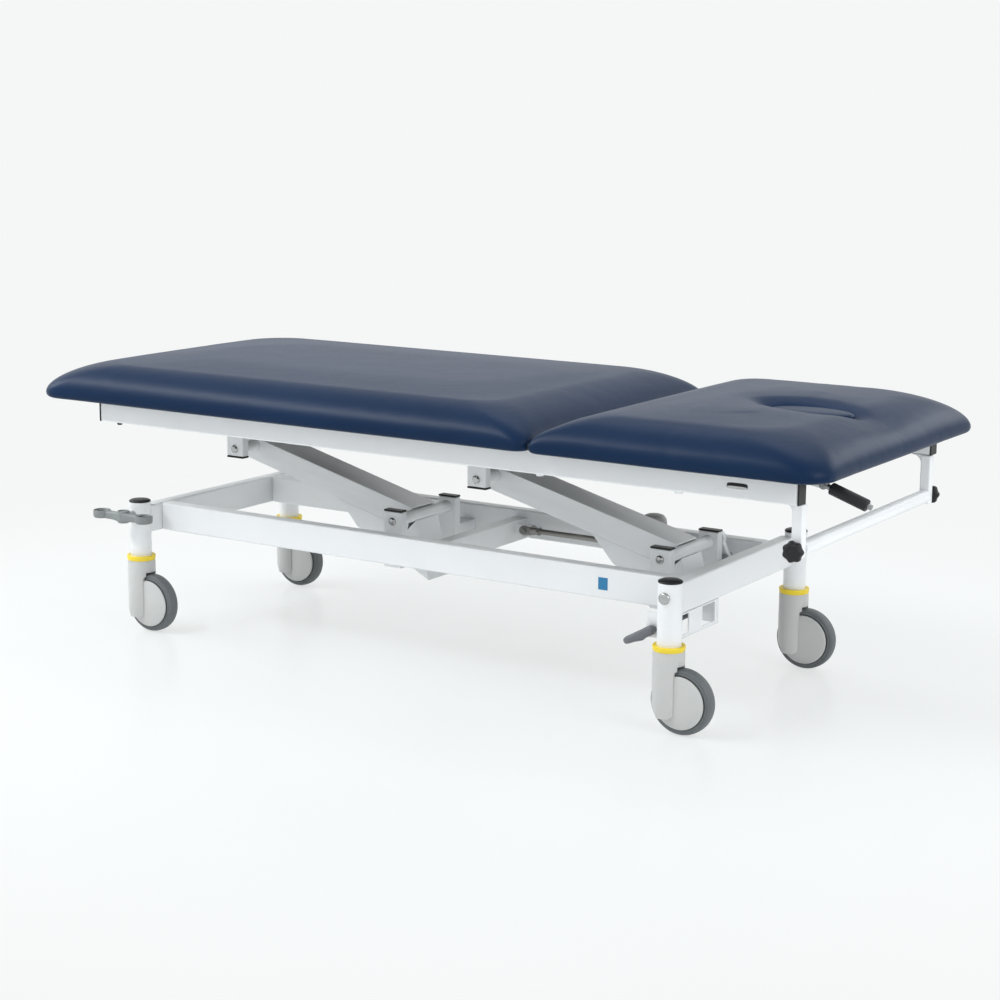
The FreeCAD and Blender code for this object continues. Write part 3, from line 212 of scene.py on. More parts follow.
# White powder coat on every welded steel piece: a smooth pale paint with the faint
# orange-peel ripple and slight tone changes of a baked coat. The black plastic of the caps
# and the plating of the bolts get their grain the same way.
def finish(name, colour, rough, ripple_size, ripple_depth, tone=0.04, metal=0.0, gloss=0.5):
    material = bpy.data.materials.new(name)
    tree = new_tree(material)
    out = tree.nodes.new("ShaderNodeOutputMaterial")
    shader = tree.nodes.new("ShaderNodeBsdfPrincipled")
    shader.inputs["Metallic"].default_value = metal
    shader.inputs["Specular IOR Level"].default_value = gloss
    place = tree.nodes.new("ShaderNodeTexCoord")
    cloud = tree.nodes.new("ShaderNodeTexNoise")
    cloud.inputs["Scale"].default_value = 6.0
    cloud.inputs["Detail"].default_value = 4.0
    tree.links.new(place.outputs["Object"], cloud.inputs["Vector"])
    ramp = tree.nodes.new("ShaderNodeValToRGB")
    low = [channel * (1 - tone) for channel in colour]
    high = [min(1.0, channel * (1 + tone)) for channel in colour]
    ramp.color_ramp.elements[0].position = 0.35
    ramp.color_ramp.elements[1].position = 0.65
    ramp.color_ramp.elements[0].color = (*low, 1)
    ramp.color_ramp.elements[1].color = (*high, 1)
    tree.links.new(cloud.outputs["Fac"], ramp.inputs["Fac"])
    tree.links.new(ramp.outputs["Color"], shader.inputs["Base Color"])
    grain = tree.nodes.new("ShaderNodeTexNoise")
    grain.inputs["Scale"].default_value = 1.0 / ripple_size
    grain.inputs["Detail"].default_value = 2.0
    tree.links.new(place.outputs["Object"], grain.inputs["Vector"])
    spread = tree.nodes.new("ShaderNodeMapRange")
    spread.inputs["To Min"].default_value = max(0.02, rough - 0.05)
    spread.inputs["To Max"].default_value = rough + 0.05
    tree.links.new(grain.outputs["Fac"], spread.inputs["Value"])
    tree.links.new(spread.outputs[0], shader.inputs["Roughness"])
    bump = tree.nodes.new("ShaderNodeBump")
    bump.inputs["Strength"].default_value = 0.6
    bump.inputs["Distance"].default_value = ripple_depth
    tree.links.new(grain.outputs["Fac"], bump.inputs["Height"])
    tree.links.new(bump.outputs["Normal"], shader.inputs["Normal"])
    tree.links.new(shader.outputs[0], out.inputs["Surface"])
    return material


white_coat = finish("white_powder_coat", (0.83, 0.84, 0.845), 0.34, 0.0022, 0.00006, 0.012)
black_plastic = finish(
    "black_moulded_plastic", (0.018, 0.018, 0.019), 0.40, 0.0011, 0.00008, 0.15, gloss=0.25
)
plated_steel = finish("bright_plated_steel", (0.47, 0.48, 0.48), 0.2, 0.004, 0.00001, 0.06, metal=1.0)


# Base frame: long rails, cross rails and mid rail, all rectangular steel tube with
# rounded corners, welded together and coated white.
def put(name, mesh, body, material, nodes=()):
    piece = bpy.data.objects.new(name, mesh)
    scene.collection.objects.link(piece)
    mesh.materials.clear()
    mesh.materials.append(material)
    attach(piece, body)
    if nodes:
        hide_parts(*nodes)
    return piece


WELD_GAP = 0.00002
SAME_PLACE = 1e-5


def islands(node):
    # corner boxes of the separate solids in a node
    build = bmesh.new()
    build.from_mesh(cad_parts[node].data)
    bmesh.ops.remove_doubles(build, verts=build.verts, dist=WELD_GAP)
    found = []
    reached = set()
    for start in build.verts:
        if start in reached:
            continue
        reached.add(start)
        heap = [start]
        points = []
        while heap:
            vert = heap.pop()
            points.append(vert.co.copy())
            for edge in vert.link_edges:
                other = edge.other_vert(vert)
                if other not in reached:
                    reached.add(other)
                    heap.append(other)
        low = Vector([min(p[i] for p in points) for i in range(3)])
        high = Vector([max(p[i] for p in points) for i in range(3)])
        found.append((low, high))
    build.free()
    merged = []
    for low, high in sorted(found, key=lambda pair: -(pair[1] - pair[0]).length):
        inside = False
        for outer_low, outer_high in merged:
            past_low = max(outer_low[i] - low[i] for i in range(3))
            past_high = max(high[i] - outer_high[i] for i in range(3))
            inside = inside or max(past_low, past_high) <= SAME_PLACE
        if not inside:
            merged.append((low, high))
    return merged


def add_box(build, low, high):
    made = bmesh.ops.create_cube(build, size=1)
    middle = (low + high) / 2
    spread = high - low
    for vert in made["verts"]:
        vert.co = Vector([middle[i] + vert.co[i] * spread[i] for i in range(3)])


def round_edges(piece, width, segments=3, angle=35):
    for polygon in piece.data.polygons:
        polygon.use_smooth = True
    rounding = piece.modifiers.new("rounded_edges", "BEVEL")
    rounding.width = width
    rounding.segments = segments
    rounding.limit_method = "ANGLE"
    rounding.angle_limit = math.radians(angle)
    rounding.harden_normals = True


def bars(node, body, material, radius):
    # square tubes or blocks with rounded corners in place of a node's plain ones
    build = bmesh.new()
    for low, high in islands(node):
        add_box(build, low, high)
    mesh = bpy.data.meshes.new(node + "_bars")
    build.to_mesh(mesh)
    build.free()
    round_edges(put(node + "_bars", mesh, body, material, [node]), radius, 4)


bars("base_side_rails", "base", white_coat, 0.004)
bars("base_cross_rails", "base", white_coat, 0.004)


def dressed(node, body, material, width=0.0012, segments=2, angle=35):
    # the CAD piece with its sharp edges eased
    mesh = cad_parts[node].data.copy()
    build = bmesh.new()
    build.from_mesh(mesh)
    bmesh.ops.remove_doubles(build, verts=build.verts, dist=WELD_GAP)
    bmesh.ops.dissolve_limit(
        build, angle_limit=math.radians(1.0), verts=build.verts[:], edges=build.edges[:]
    )
    build.to_mesh(mesh)
    build.free()
    piece = put(node + "_dressed", mesh, body, material, [node])
    round_edges(piece, width, segments, angle)


dressed("base_mid_rail", "base", white_coat, 0.001)


# Blue patch: a thin plastic film stuck flat on the near base rail towards the head end.
# It is blank, and its edges are eased a little.
patch_blue = finish("blank_blue_film", (0.012, 0.19, 0.40), 0.35, 0.002, 0.00002, 0.04)
PATCH_LOW = Vector((0.3680, -0.2045, 0.2300))
PATCH_HIGH = Vector((0.3885, -0.2038, 0.2540))
patch_build = bmesh.new()
add_box(patch_build, PATCH_LOW, PATCH_HIGH)
patch_mesh = bpy.data.meshes.new("blank_blue_patch")
patch_build.to_mesh(patch_mesh)
patch_build.free()
round_edges(put("blank_blue_patch", patch_mesh, "base", patch_blue), 0.0002, 2)


# Corner posts: round tube welded to the rails, with black domed caps pushed into the top
# and a yellow collar where each castor's stem goes in.
def coat_node(node, material):
    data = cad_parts[node].data
    data.materials.clear()
    data.materials.append(material)


ring_yellow = finish("yellow_collar", (0.84, 0.63, 0.03), 0.4, 0.002, 0.00004, 0.05)


def skin(build, loops):
    # faces between neighbouring loops of points, closed at both ends
    for first, second in zip(loops, loops[1:]):
        for index in range(len(first)):
            after = (index + 1) % len(first)
            build.faces.new((first[index], first[after], second[after], second[index]))
    build.faces.new(list(reversed(loops[0])))
    build.faces.new(loops[-1])


def close_piece(name, build, body, material, nodes=(), angle=45):
    bmesh.ops.recalc_face_normals(build, faces=build.faces[:])
    mesh = bpy.data.meshes.new(name)
    build.to_mesh(mesh)
    build.free()
    for polygon in mesh.polygons:
        polygon.use_smooth = True
    mesh.set_sharp_from_angle(angle=math.radians(angle))
    put(name, mesh, body, material, nodes)


def lathe(build, rings, centre, axis="Z", sides=48):
    # spins (radius, height) pairs round an axis through centre
    loops = []
    for radius, height in rings:
        loop = []
        for index in range(sides):
            angle = 2 * math.pi * index / sides
            u = radius * math.cos(angle)
            v = radius * math.sin(angle)
            if axis == "Z":
                spot = Vector((u, v, height))
            elif axis == "Y":
                spot = Vector((u, height, -v))
            else:
                spot = Vector((height, u, v))
            loop.append(build.verts.new(centre + spot))
        loops.append(loop)
    skin(build, loops)


CORNERS = {
    "foot_near": (-0.7473, -0.256),
    "foot_far": (-0.7473, 0.256),
    "head_near": (0.5573, -0.270),
    "head_far": (0.5573, 0.270),
}


def turned_set(name, spots, rings, body, material, nodes=(), axis="Z", sides=48, angle=40):
    build = bmesh.new()
    for spot in spots:
        lathe(build, rings, Vector(spot), axis, sides)
    close_piece(name, build, body, material, nodes, angle)


corner_spots = [(x, y, 0) for x, y in CORNERS.values()]
turned_set(
    "corner_tubes",
    corner_spots,
    [(0.0228, 0.1525), (0.023, 0.153), (0.023, 0.2820), (0.0222, 0.2825)],
    "base",
    white_coat,
    ["corner_posts"],
)
turned_set(
    "domed_caps",
    corner_spots,
    [
        (0.0195, 0.2745),
        (0.0225, 0.2823),
        (0.0232, 0.2830),
        (0.0232, 0.2843),
        (0.0222, 0.2858),
        (0.0190, 0.2873),
        (0.0130, 0.2884),
        (0.0060, 0.2889),
        (0.0008, 0.2890),
    ],
    "base",
    black_plastic,
    ["corner_caps"],
    angle=60,
)
turned_set(
    "yellow_collars",
    corner_spots,
    [
        (0.0296, 0.1551),
        (0.0301, 0.1560),
        (0.0304, 0.1592),
        (0.0309, 0.1622),
        (0.0308, 0.1644),
        (0.0296, 0.1656),
        (0.0275, 0.1654),
        (0.0255, 0.1644),
        (0.0232, 0.1638),
    ],
    "base",
    ring_yellow,
    ["castor_rings"],
    angle=60,
)


# Castors: a light grey moulded hood with side covers, swivelling under each post,
# round a wheel with a grey centre and a dark soft tread.
hood_grey = finish("castor_hood_grey", (0.525, 0.525, 0.51), 0.4, 0.0009, 0.00006, 0.02)
tread_grey = finish("castor_tread_grey", (0.118, 0.128, 0.132), 0.55, 0.0007, 0.00008, 0.12)
hub_grey = finish("wheel_centre_grey", (0.30, 0.31, 0.32), 0.45, 0.001, 0.00006, 0.05)
WHEEL_TRAIL = 0.031
NECK_RINGS = [
    (0.0250, 0.1500),
    (0.0292, 0.1508),
    (0.0297, 0.1516),
    (0.0297, 0.1544),
    (0.0290, 0.1551),
    (0.0235, 0.1552),
]
WHEEL_RADIUS = 0.0625
TREAD_HALF = [
    (0.0490, 0.0118),
    (0.0515, 0.0136),
    (0.0535, 0.0139),
    (0.0548, 0.0133),
    (0.0556, 0.0124),
    (0.0566, 0.0128),
    (0.0590, 0.0126),
    (0.0610, 0.0104),
    (0.0621, 0.0066),
]
tread_rings = [(radius, -height) for radius, height in TREAD_HALF]
tread_rings += [(WHEEL_RADIUS, 0.0)]
tread_rings += reversed(TREAD_HALF)
for corner, (x, y) in CORNERS.items():
    dressed("castor_hood_" + corner, "castor_" + corner, hood_grey, 0.0014, 3, 40)
    turned_set(
        "tread_" + corner,
        [(x + WHEEL_TRAIL, y, WHEEL_RADIUS)],
        tread_rings,
        "wheel_" + corner,
        tread_grey,
        ["castor_tyre_" + corner],
        axis="Y",
        sides=72,
        angle=50,
    )
    coat_node("castor_hub_" + corner, hub_grey)
    turned_set(
        "castor_neck_" + corner,
        [(x, y, 0)],
        NECK_RINGS,
        "castor_" + corner,
        hood_grey,
        angle=60,
    )


# Button bolt: a bright domed head, turned from steel and plated, on the outer side of the
# near head post, which it clamps.
BUTTON_HEIGHT = 0.256
BUTTON_RINGS = [
    (0.0112, -0.0222),
    (0.0114, -0.0236),
    (0.0107, -0.0256),
    (0.0082, -0.0272),
    (0.0045, -0.0281),
    (0.0006, -0.0284),
]
turned_set(
    "post_button_bolt",
    [(*CORNERS["head_near"], BUTTON_HEIGHT)],
    BUTTON_RINGS,
    "base",
    plated_steel,
    axis="Y",
    angle=60,
)


# Lift posts and their ties: short rectangular tubes with black caps that carry the
# lower pivots of the two lift arms. Lower and upper pivots turn on bright bolts.
bars("lift_posts", "base", white_coat, 0.003)
bars("lift_post_caps", "base", black_plastic, 0.0015)
bars("lift_post_ties", "base", white_coat, 0.003)
coat_node("base_pivot_bolts", plated_steel)
coat_node("top_pivot_bolts", plated_steel)


# Lift arms: a box beam with a deep crank box under its lower end, welded between two
# pivot tubes. Both arms are alike and work as a parallelogram, and the drive lever is
# coated as they are.
for arm in ("foot_arm", "head_arm"):
    dressed(arm + "_beam", arm, white_coat, 0.0012, 3)
    dressed(arm + "_crank", arm, white_coat, 0.0012, 2)
    coat_node(arm + "_tubes", white_coat)
coat_node("lift_lever", white_coat)


# Actuator: a dull zinc rod whose forked end is pinned to the mid rail, sliding in a grey
# tube with a ribbed motor housing on top.
motor_grey = finish("motor_housing_grey", (0.40, 0.40, 0.385), 0.5, 0.001, 0.00008, 0.04)
tube_grey = finish("actuator_tube_grey", (0.33, 0.34, 0.35), 0.4, 0.002, 0.00004, 0.04)
zinc_grey = finish("dull_zinc", (0.25, 0.245, 0.23), 0.38, 0.003, 0.00002, 0.1, metal=0.85)
coat_node("actuator_tube", tube_grey)


def loft(build, sections, power, sides=28):
    # joins rounded cross sections, each a middle, an across vector and an up vector
    loops = []
    for middle, across, rise in sections:
        loop = []
        for index in range(sides):
            angle = 2 * math.pi * index / sides
            c = math.cos(angle)
            s = math.sin(angle)
            u = math.copysign(abs(c) ** (2 / power), c)
            v = math.copysign(abs(s) ** (2 / power), s)
            loop.append(build.verts.new(middle + across * u + rise * v))
        loops.append(loop)
    skin(build, loops)


ROD_Y = 0.135
ROD_Z = 0.2409
ROD_LINE = Vector((0, ROD_Y, ROD_Z))
PIN_X = -0.005
PRONG_OUT = 0.0100
PRONG_HALF = 0.0028
yoke = bmesh.new()
PRONG_SHAPE = [
    (-0.0160, 0.0030),
    (-0.0150, 0.0060),
    (-0.0110, 0.0092),
    (-0.0050, 0.0106),
    (0.0020, 0.0098),
    (0.0110, 0.0084),
]
for side in (-1, 1):
    prong = []
    for x, half in PRONG_SHAPE:
        middle = Vector((x, ROD_Y + side * PRONG_OUT, ROD_Z))
        prong.append((middle, Vector((0, PRONG_HALF, 0)), Vector((0, 0, half))))
    loft(yoke, prong, power=4)
NECK_SHAPE = [
    (0.0090, 0.0128, 0.0088),
    (0.0150, 0.0120, 0.0088),
    (0.0200, 0.0088, 0.0078),
    (0.0240, 0.0076, 0.0076),
]
neck = []
for x, half_y, half_z in NECK_SHAPE:
    neck.append((Vector((x, ROD_Y, ROD_Z)), Vector((0, half_y, 0)), Vector((0, 0, half_z))))
loft(yoke, neck, power=3)
LOCK_NUT = [(0.0088, 0.0240), (0.0092, 0.0248), (0.0092, 0.0288), (0.0085, 0.0296)]
lathe(yoke, LOCK_NUT, ROD_LINE, "X", 6)
ROD_RINGS = [(0.0060, 0.0290), (0.0060, 0.3340), (0.0055, 0.3350)]
lathe(yoke, ROD_RINGS, ROD_LINE, "X")
PIN_RINGS = [(0.0055, -0.0165), (0.0062, -0.0158), (0.0062, -0.0132), (0.0040, -0.0130), (0.0040, 0.0150)]
lathe(yoke, PIN_RINGS, Vector((PIN_X, ROD_Y, ROD_Z)), "Y", 24)
close_piece("rod_and_yoke", yoke, "base", zinc_grey, ["actuator_rod"], 40)
MOTOR_SPOT = (0.302, ROD_Y, 0)
MOTOR_RADIUS = 0.0270
GROOVE_RADIUS = 0.0256
RIB_COUNT = 5
RIB_PITCH = 0.0048
FIRST_RIB = 0.264
motor_rings = [(0.0268, 0.2614), (MOTOR_RADIUS, 0.2620)]
for rib in range(RIB_COUNT):
    base = FIRST_RIB + rib * RIB_PITCH
    motor_rings += [(MOTOR_RADIUS, base), (GROOVE_RADIUS, base + 0.0008)]
    motor_rings += [(GROOVE_RADIUS, base + 0.0022), (MOTOR_RADIUS, base + 0.0030)]
motor_rings += [(0.0268, 0.2940), (0.0252, 0.3020), (0.0205, 0.3080), (0.0130, 0.3110), (0.0010, 0.3120)]
turned_set(
    "ribbed_motor", [MOTOR_SPOT], motor_rings, "actuator", motor_grey, ["actuator_motor"]
)


# Top frame: two long rectangular rails with black end caps, cross rails between them
# and hanging brackets for the arms' upper pivots. A latch sits in the near rail's side,
# and a screw and two studs under it.
bars("top_side_rails", "top", white_coat, 0.004)
bars("top_cross_rails", "top", white_coat, 0.004)
bars("top_end_caps", "top", black_plastic, 0.0012)
bars("upper_brackets", "top", white_coat, 0.003)
coat_node("strut_base_lug", white_coat)
LATCH_X = 0.711
LATCH_Z = 0.4856
RAIL_SIDE_Y = -0.3215
# The black rim shows above the plated bar and at its ends. Its black is painted shade: it stands for the
# shadow in the slot that the bar sits in.
for name, half_x, half_z, drop, proud, slot_name, paint in (
    ("latch_rim_painted_shade", 0.0212, 0.0052, 0.0, 0.0006, "black_plastic", black_plastic),
    ("latch_bar", 0.0206, 0.0027, 0.0030, 0.0030, "bright_steel", plated_steel),
):
    latch = bmesh.new()
    window = []
    for share, shrink in ((0.0, 1.0), (0.7, 1.0), (1.0, 0.9)):
        spot = Vector((LATCH_X, RAIL_SIDE_Y - proud * share, LATCH_Z - drop))
        window.append((spot, Vector((half_x * shrink, 0, 0)), Vector((0, 0, half_z * shrink))))
    loft(latch, window, power=4)
    close_piece(name, latch, "top", paint)
RAIL_UNDERSIDE = 0.462
turned_set(
    "rail_screw",
    [(-0.751, -0.307, RAIL_UNDERSIDE)],
    [(0.0030, 0.0010), (0.0052, 0.0), (0.0056, -0.0035), (0.0046, -0.0058), (0.0006, -0.0064)],
    "top",
    black_plastic,
    sides=32,
)
turned_set(
    "rail_studs",
    [(0.295, -0.300, RAIL_UNDERSIDE), (0.588, -0.305, RAIL_UNDERSIDE)],
    [(0.0060, 0.0010), (0.0085, 0.0), (0.0085, -0.0030), (0.0068, -0.0062), (0.0006, -0.0072)],
    "top",
    white_coat,
    sides=32,
)


# Boards and piano hinge: plywood with a dull lining under each pad, joined by a plated
# hinge along the gap.
lining = finish("board_lining", (0.055, 0.052, 0.048), 0.85, 0.0008, 0.0002, 0.2)
coat_node("foot_board", lining)
coat_node("head_board", lining)
coat_node("hinge_foot_leaf", plated_steel)
coat_node("hinge_head_leaf", plated_steel)


# Pads: foam on a board under navy vinyl, with broad rolled edges. The vinyl is swelled
# by a cloth simulation and then pressed in round the face hole.
def vinyl_finish():
    material = bpy.data.materials.new("navy_vinyl")
    tree = new_tree(material)
    out = tree.nodes.new("ShaderNodeOutputMaterial")
    shader = tree.nodes.new("ShaderNodeBsdfPrincipled")
    shader.inputs["Specular IOR Level"].default_value = 0.10
    place = tree.nodes.new("ShaderNodeTexCoord")
    cloud = tree.nodes.new("ShaderNodeTexNoise")
    cloud.inputs["Scale"].default_value = 5.0
    cloud.inputs["Detail"].default_value = 3.0
    tree.links.new(place.outputs["Object"], cloud.inputs["Vector"])
    ramp = tree.nodes.new("ShaderNodeValToRGB")
    ramp.color_ramp.elements[0].position = 0.3
    ramp.color_ramp.elements[1].position = 0.7
    ramp.color_ramp.elements[0].color = (0.0046, 0.0184, 0.0520, 1)
    ramp.color_ramp.elements[1].color = (0.0056, 0.0214, 0.0595, 1)
    tree.links.new(cloud.outputs["Fac"], ramp.inputs["Fac"])
    tree.links.new(ramp.outputs["Color"], shader.inputs["Base Color"])
    cells = tree.nodes.new("ShaderNodeTexVoronoi")
    cells.feature = "DISTANCE_TO_EDGE"
    cells.inputs["Scale"].default_value = 620.0
    tree.links.new(place.outputs["Object"], cells.inputs["Vector"])
    crease = tree.nodes.new("ShaderNodeMapRange")
    crease.inputs["From Max"].default_value = 0.18
    tree.links.new(cells.outputs["Distance"], crease.inputs["Value"])
    spread = tree.nodes.new("ShaderNodeMapRange")
    spread.inputs["To Min"].default_value = 0.40
    spread.inputs["To Max"].default_value = 0.31
    tree.links.new(crease.outputs[0], spread.inputs["Value"])
    tree.links.new(spread.outputs[0], shader.inputs["Roughness"])
    fine = tree.nodes.new("ShaderNodeBump")
    fine.inputs["Strength"].default_value = 0.35
    fine.inputs["Distance"].default_value = 0.00012
    tree.links.new(crease.outputs[0], fine.inputs["Height"])
    wave = tree.nodes.new("ShaderNodeTexNoise")
    wave.inputs["Scale"].default_value = 14.0
    wave.inputs["Detail"].default_value = 2.0
    tree.links.new(place.outputs["Object"], wave.inputs["Vector"])
    broad = tree.nodes.new("ShaderNodeBump")
    broad.inputs["Strength"].default_value = 0.25
    broad.inputs["Distance"].default_value = 0.004
    tree.links.new(wave.outputs["Fac"], broad.inputs["Height"])
    tree.links.new(fine.outputs["Normal"], broad.inputs["Normal"])
    tree.links.new(broad.outputs["Normal"], shader.inputs["Normal"])
    tree.links.new(shader.outputs[0], out.inputs["Surface"])
    return material


navy_vinyl = vinyl_finish()
PAD_HALF = 0.3775
PAD_FOOT = 0.5068
PAD_WIDE = 0.5180
PAD_TOP = 0.5820
PAD_CROWN = 0.0060
SIDE_ROLL = 0.075
END_ROLL = 0.120
ROLL_IN = 1.33
ROLL_UP = 1.10
OUTER_CORNER = 0.060
FOOT_JOINT_CORNER = 0.034
HEAD_JOINT_CORNER = 0.013
BOARD_HALF = 0.340
BOARD_FOOT_END = -0.905
BOARD_HEAD_END = 0.850
BOARD_UNDERSIDE = 0.5127
UNDERSIDE_LEVELS = [(0.030, BOARD_UNDERSIDE), (0.021, BOARD_UNDERSIDE), (0.015, PAD_FOOT)]
LOWER_TUCK = 0.006
CROWN_SIDE = 0.17
CROWN_END_SHARE = 0.7
CORNER_GROWTH = 0.5
CORNER_LIMIT = 0.8
CORNER_STEPS = 12
TUCK_STEPS = 4
ROLL_STEPS = 16
CROWN_STEPS = 8
FOOT_PAD_ENDS = (-0.9340, 0.3070)
HEAD_PAD_ENDS = (0.3162, 0.8950)
SWELL_REACH = 0.005
SWELL_FRAMES = 20
CALM_PASSES = 12


def pad_outline(low_x, high_x, half, low_radius, high_radius):
    # points round a rectangle with its own corner radius at each end
    corners = [
        (high_x - high_radius, -half + high_radius, high_radius, -90),
        (high_x - high_radius, half - high_radius, high_radius, 0),
        (low_x + low_radius, half - low_radius, low_radius, 90),
        (low_x + low_radius, -half + low_radius, low_radius, 180),
    ]
    points = []
    for x, y, radius, start in corners:
        for step in range(CORNER_STEPS + 1):
            angle = math.radians(start + 90 * step / CORNER_STEPS)
            points.append((x + radius * math.cos(angle), y + radius * math.sin(angle)))
    return points


def pad_shape(name, ends, low_corner, high_corner):
    # loops from the underside up: tucked lower edge, rolled side, then the crowned top
    build = bmesh.new()
    levels = [(inset, inset, height) for inset, height in UNDERSIDE_LEVELS]
    for step in range(TUCK_STEPS + 1):
        angle = math.radians(-90 + 90 * step / TUCK_STEPS)
        tuck = LOWER_TUCK * (1 - math.cos(angle))
        levels.append((tuck, tuck, PAD_WIDE + (PAD_WIDE - PAD_FOOT) * math.sin(angle)))
    for step in range(1, ROLL_STEPS + 1):
        angle = math.radians(90 * step / ROLL_STEPS)
        inset = 1 - math.cos(angle) ** ROLL_IN
        rise = math.sin(angle) ** ROLL_UP
        levels.append((END_ROLL * inset, SIDE_ROLL * inset, PAD_WIDE + (PAD_TOP - PAD_WIDE) * rise))
    for step in range(1, CROWN_STEPS + 1):
        share = step / CROWN_STEPS
        extra = CROWN_SIDE * share
        rise = PAD_CROWN * (1 - math.cos(math.pi * share)) / 2
        levels.append((END_ROLL + extra * CROWN_END_SHARE, SIDE_ROLL + extra, PAD_TOP + rise))
    loops = []
    for end, side, height in levels:
        half = PAD_HALF - side
        low_radius = min(low_corner + side * CORNER_GROWTH, half * CORNER_LIMIT)
        high_radius = min(high_corner + side * CORNER_GROWTH, half * CORNER_LIMIT)
        outline = pad_outline(ends[0] + end, ends[1] - end, half, low_radius, high_radius)
        loops.append([build.verts.new((x, y, height)) for x, y in outline])
    skin(build, loops)
    mesh = bpy.data.meshes.new(name)
    build.to_mesh(mesh)
    build.free()
    return mesh


def swell(piece, voxel):
    # remeshes the pad evenly and lets pressure round it out, with one scale for the whole pad
    # that keeps the largest movement to SWELL_REACH
    bpy.context.view_layer.objects.active = piece
    piece.select_set(True)
    remesh = piece.modifiers.new("even_mesh", "REMESH")
    remesh.mode = "VOXEL"
    remesh.voxel_size = voxel
    bpy.ops.object.modifier_apply(modifier=remesh.name)
    start = [(vert.co.copy(), vert.normal.copy()) for vert in piece.data.vertices]
    cloth = piece.modifiers.new("stuffing", "CLOTH")
    cloth.settings.quality = 4
    cloth.settings.mass = 0.4
    cloth.settings.tension_stiffness = 22
    cloth.settings.compression_stiffness = 22
    cloth.settings.shear_stiffness = 10
    cloth.settings.bending_stiffness = 1.5
    cloth.settings.use_pressure = True
    cloth.settings.uniform_pressure_force = 4
    cloth.settings.effector_weights.gravity = 0
    cloth.collision_settings.use_collision = False
    for step in range(1, SWELL_FRAMES + 1):
        scene.frame_set(step)
    bpy.ops.object.modifier_apply(modifier=cloth.name)
    scene.frame_set(1)
    bulges = []
    for vert, (first, outward) in zip(piece.data.vertices, start):
        bulges.append((vert.co - first).dot(outward))
    share = SWELL_REACH / max(SWELL_REACH, max(abs(bulge) for bulge in bulges))
    for vert, (first, outward), bulge in zip(piece.data.vertices, start, bulges):
        vert.co = first + outward * (bulge * share)
        vert.co.z = max(vert.co.z, PAD_FOOT)
    for vert in piece.data.vertices:
        if abs(vert.co.y) < BOARD_HALF and BOARD_FOOT_END < vert.co.x < BOARD_HEAD_END:
            vert.co.z = max(vert.co.z, BOARD_UNDERSIDE)
    calm = piece.modifiers.new("calm", "SMOOTH")
    calm.factor = 0.5
    calm.iterations = CALM_PASSES
    bpy.ops.object.modifier_apply(modifier=calm.name)
    for polygon in piece.data.polygons:
        polygon.use_smooth = True
    piece.select_set(False)


def smooth_step(low, high, value):
    share = min(1.0, max(0.0, (value - low) / (high - low)))
    return share * share * (3 - 2 * share)


foot_shape = pad_shape("foot_cushion", FOOT_PAD_ENDS, OUTER_CORNER, FOOT_JOINT_CORNER)
foot_pad = put("foot_cushion", foot_shape, "top", navy_vinyl, ["foot_pad"])
swell(foot_pad, 0.006)
head_shape = pad_shape("head_cushion", HEAD_PAD_ENDS, HEAD_JOINT_CORNER, OUTER_CORNER)
head_pad = put("head_cushion", head_shape, "head", navy_vinyl, ["head_pad"])
swell(head_pad, 0.005)
HOLE_X = 0.700
HOLE_LONG = 0.0875
HOLE_WIDE = 0.0475
HOLE_DIP = 0.021
HOLE_DEPTH = 0.030
HOLE_WALL_SHARE = 0.985
HOLE_FLOOR = 0.66
HOLE_WALL = 0.86
HOLLOW_SHARE = 0.27
HOLLOW_REACH = 0.110
WALL_REACH = 0.044
VALLEY_DEPTH = 0.005
VALLEY_HALF = 0.120
EAR_PULL = 0.009
for vert in head_pad.data.vertices:
    spot = vert.co
    top_share = smooth_step(0.520, 0.572, spot.z)
    on_top = top_share > 0.5
    along = spot.x - HOLE_X
    reach = max(1e-6, math.hypot(along / HOLE_LONG, spot.y / HOLE_WIDE))
    away = math.hypot(along, spot.y) * (1 - 1 / max(1.0, reach))
    hollow = (1 - min(1.0, away / HOLLOW_REACH)) ** 2
    wall = (1 - min(1.0, away / WALL_REACH)) ** 2
    fade = HOLLOW_SHARE * hollow + (1 - HOLLOW_SHARE) * wall
    valley = math.exp(-((spot.y / VALLEY_HALF) ** 2)) * smooth_step(0.075, 0.135, along)
    valley *= 1 - smooth_step(0.125, 0.205, along)
    # the corners at the joint with the foot pad draw in a little
    ear = smooth_step(0.322, 0.352, abs(spot.y)) * (1 - smooth_step(0.322, 0.370, spot.x))
    if reach < HOLE_WALL and on_top:
        spot.z -= HOLE_DIP + HOLE_DEPTH
        if reach > HOLE_FLOOR:
            spot.x = HOLE_X + along * HOLE_WALL_SHARE / reach
            spot.y *= HOLE_WALL_SHARE / reach
    elif reach < 1.0 and on_top:
        spot.x = HOLE_X + along / reach
        spot.y /= reach
        spot.z -= HOLE_DIP
    else:
        spot.z -= top_share * (HOLE_DIP * fade + VALLEY_DEPTH * valley)
    spot.x -= EAR_PULL * ear
for pad in (foot_pad, head_pad):
    finer = pad.modifiers.new("finer", "SUBSURF")
    finer.levels = 1
    finer.render_levels = 1


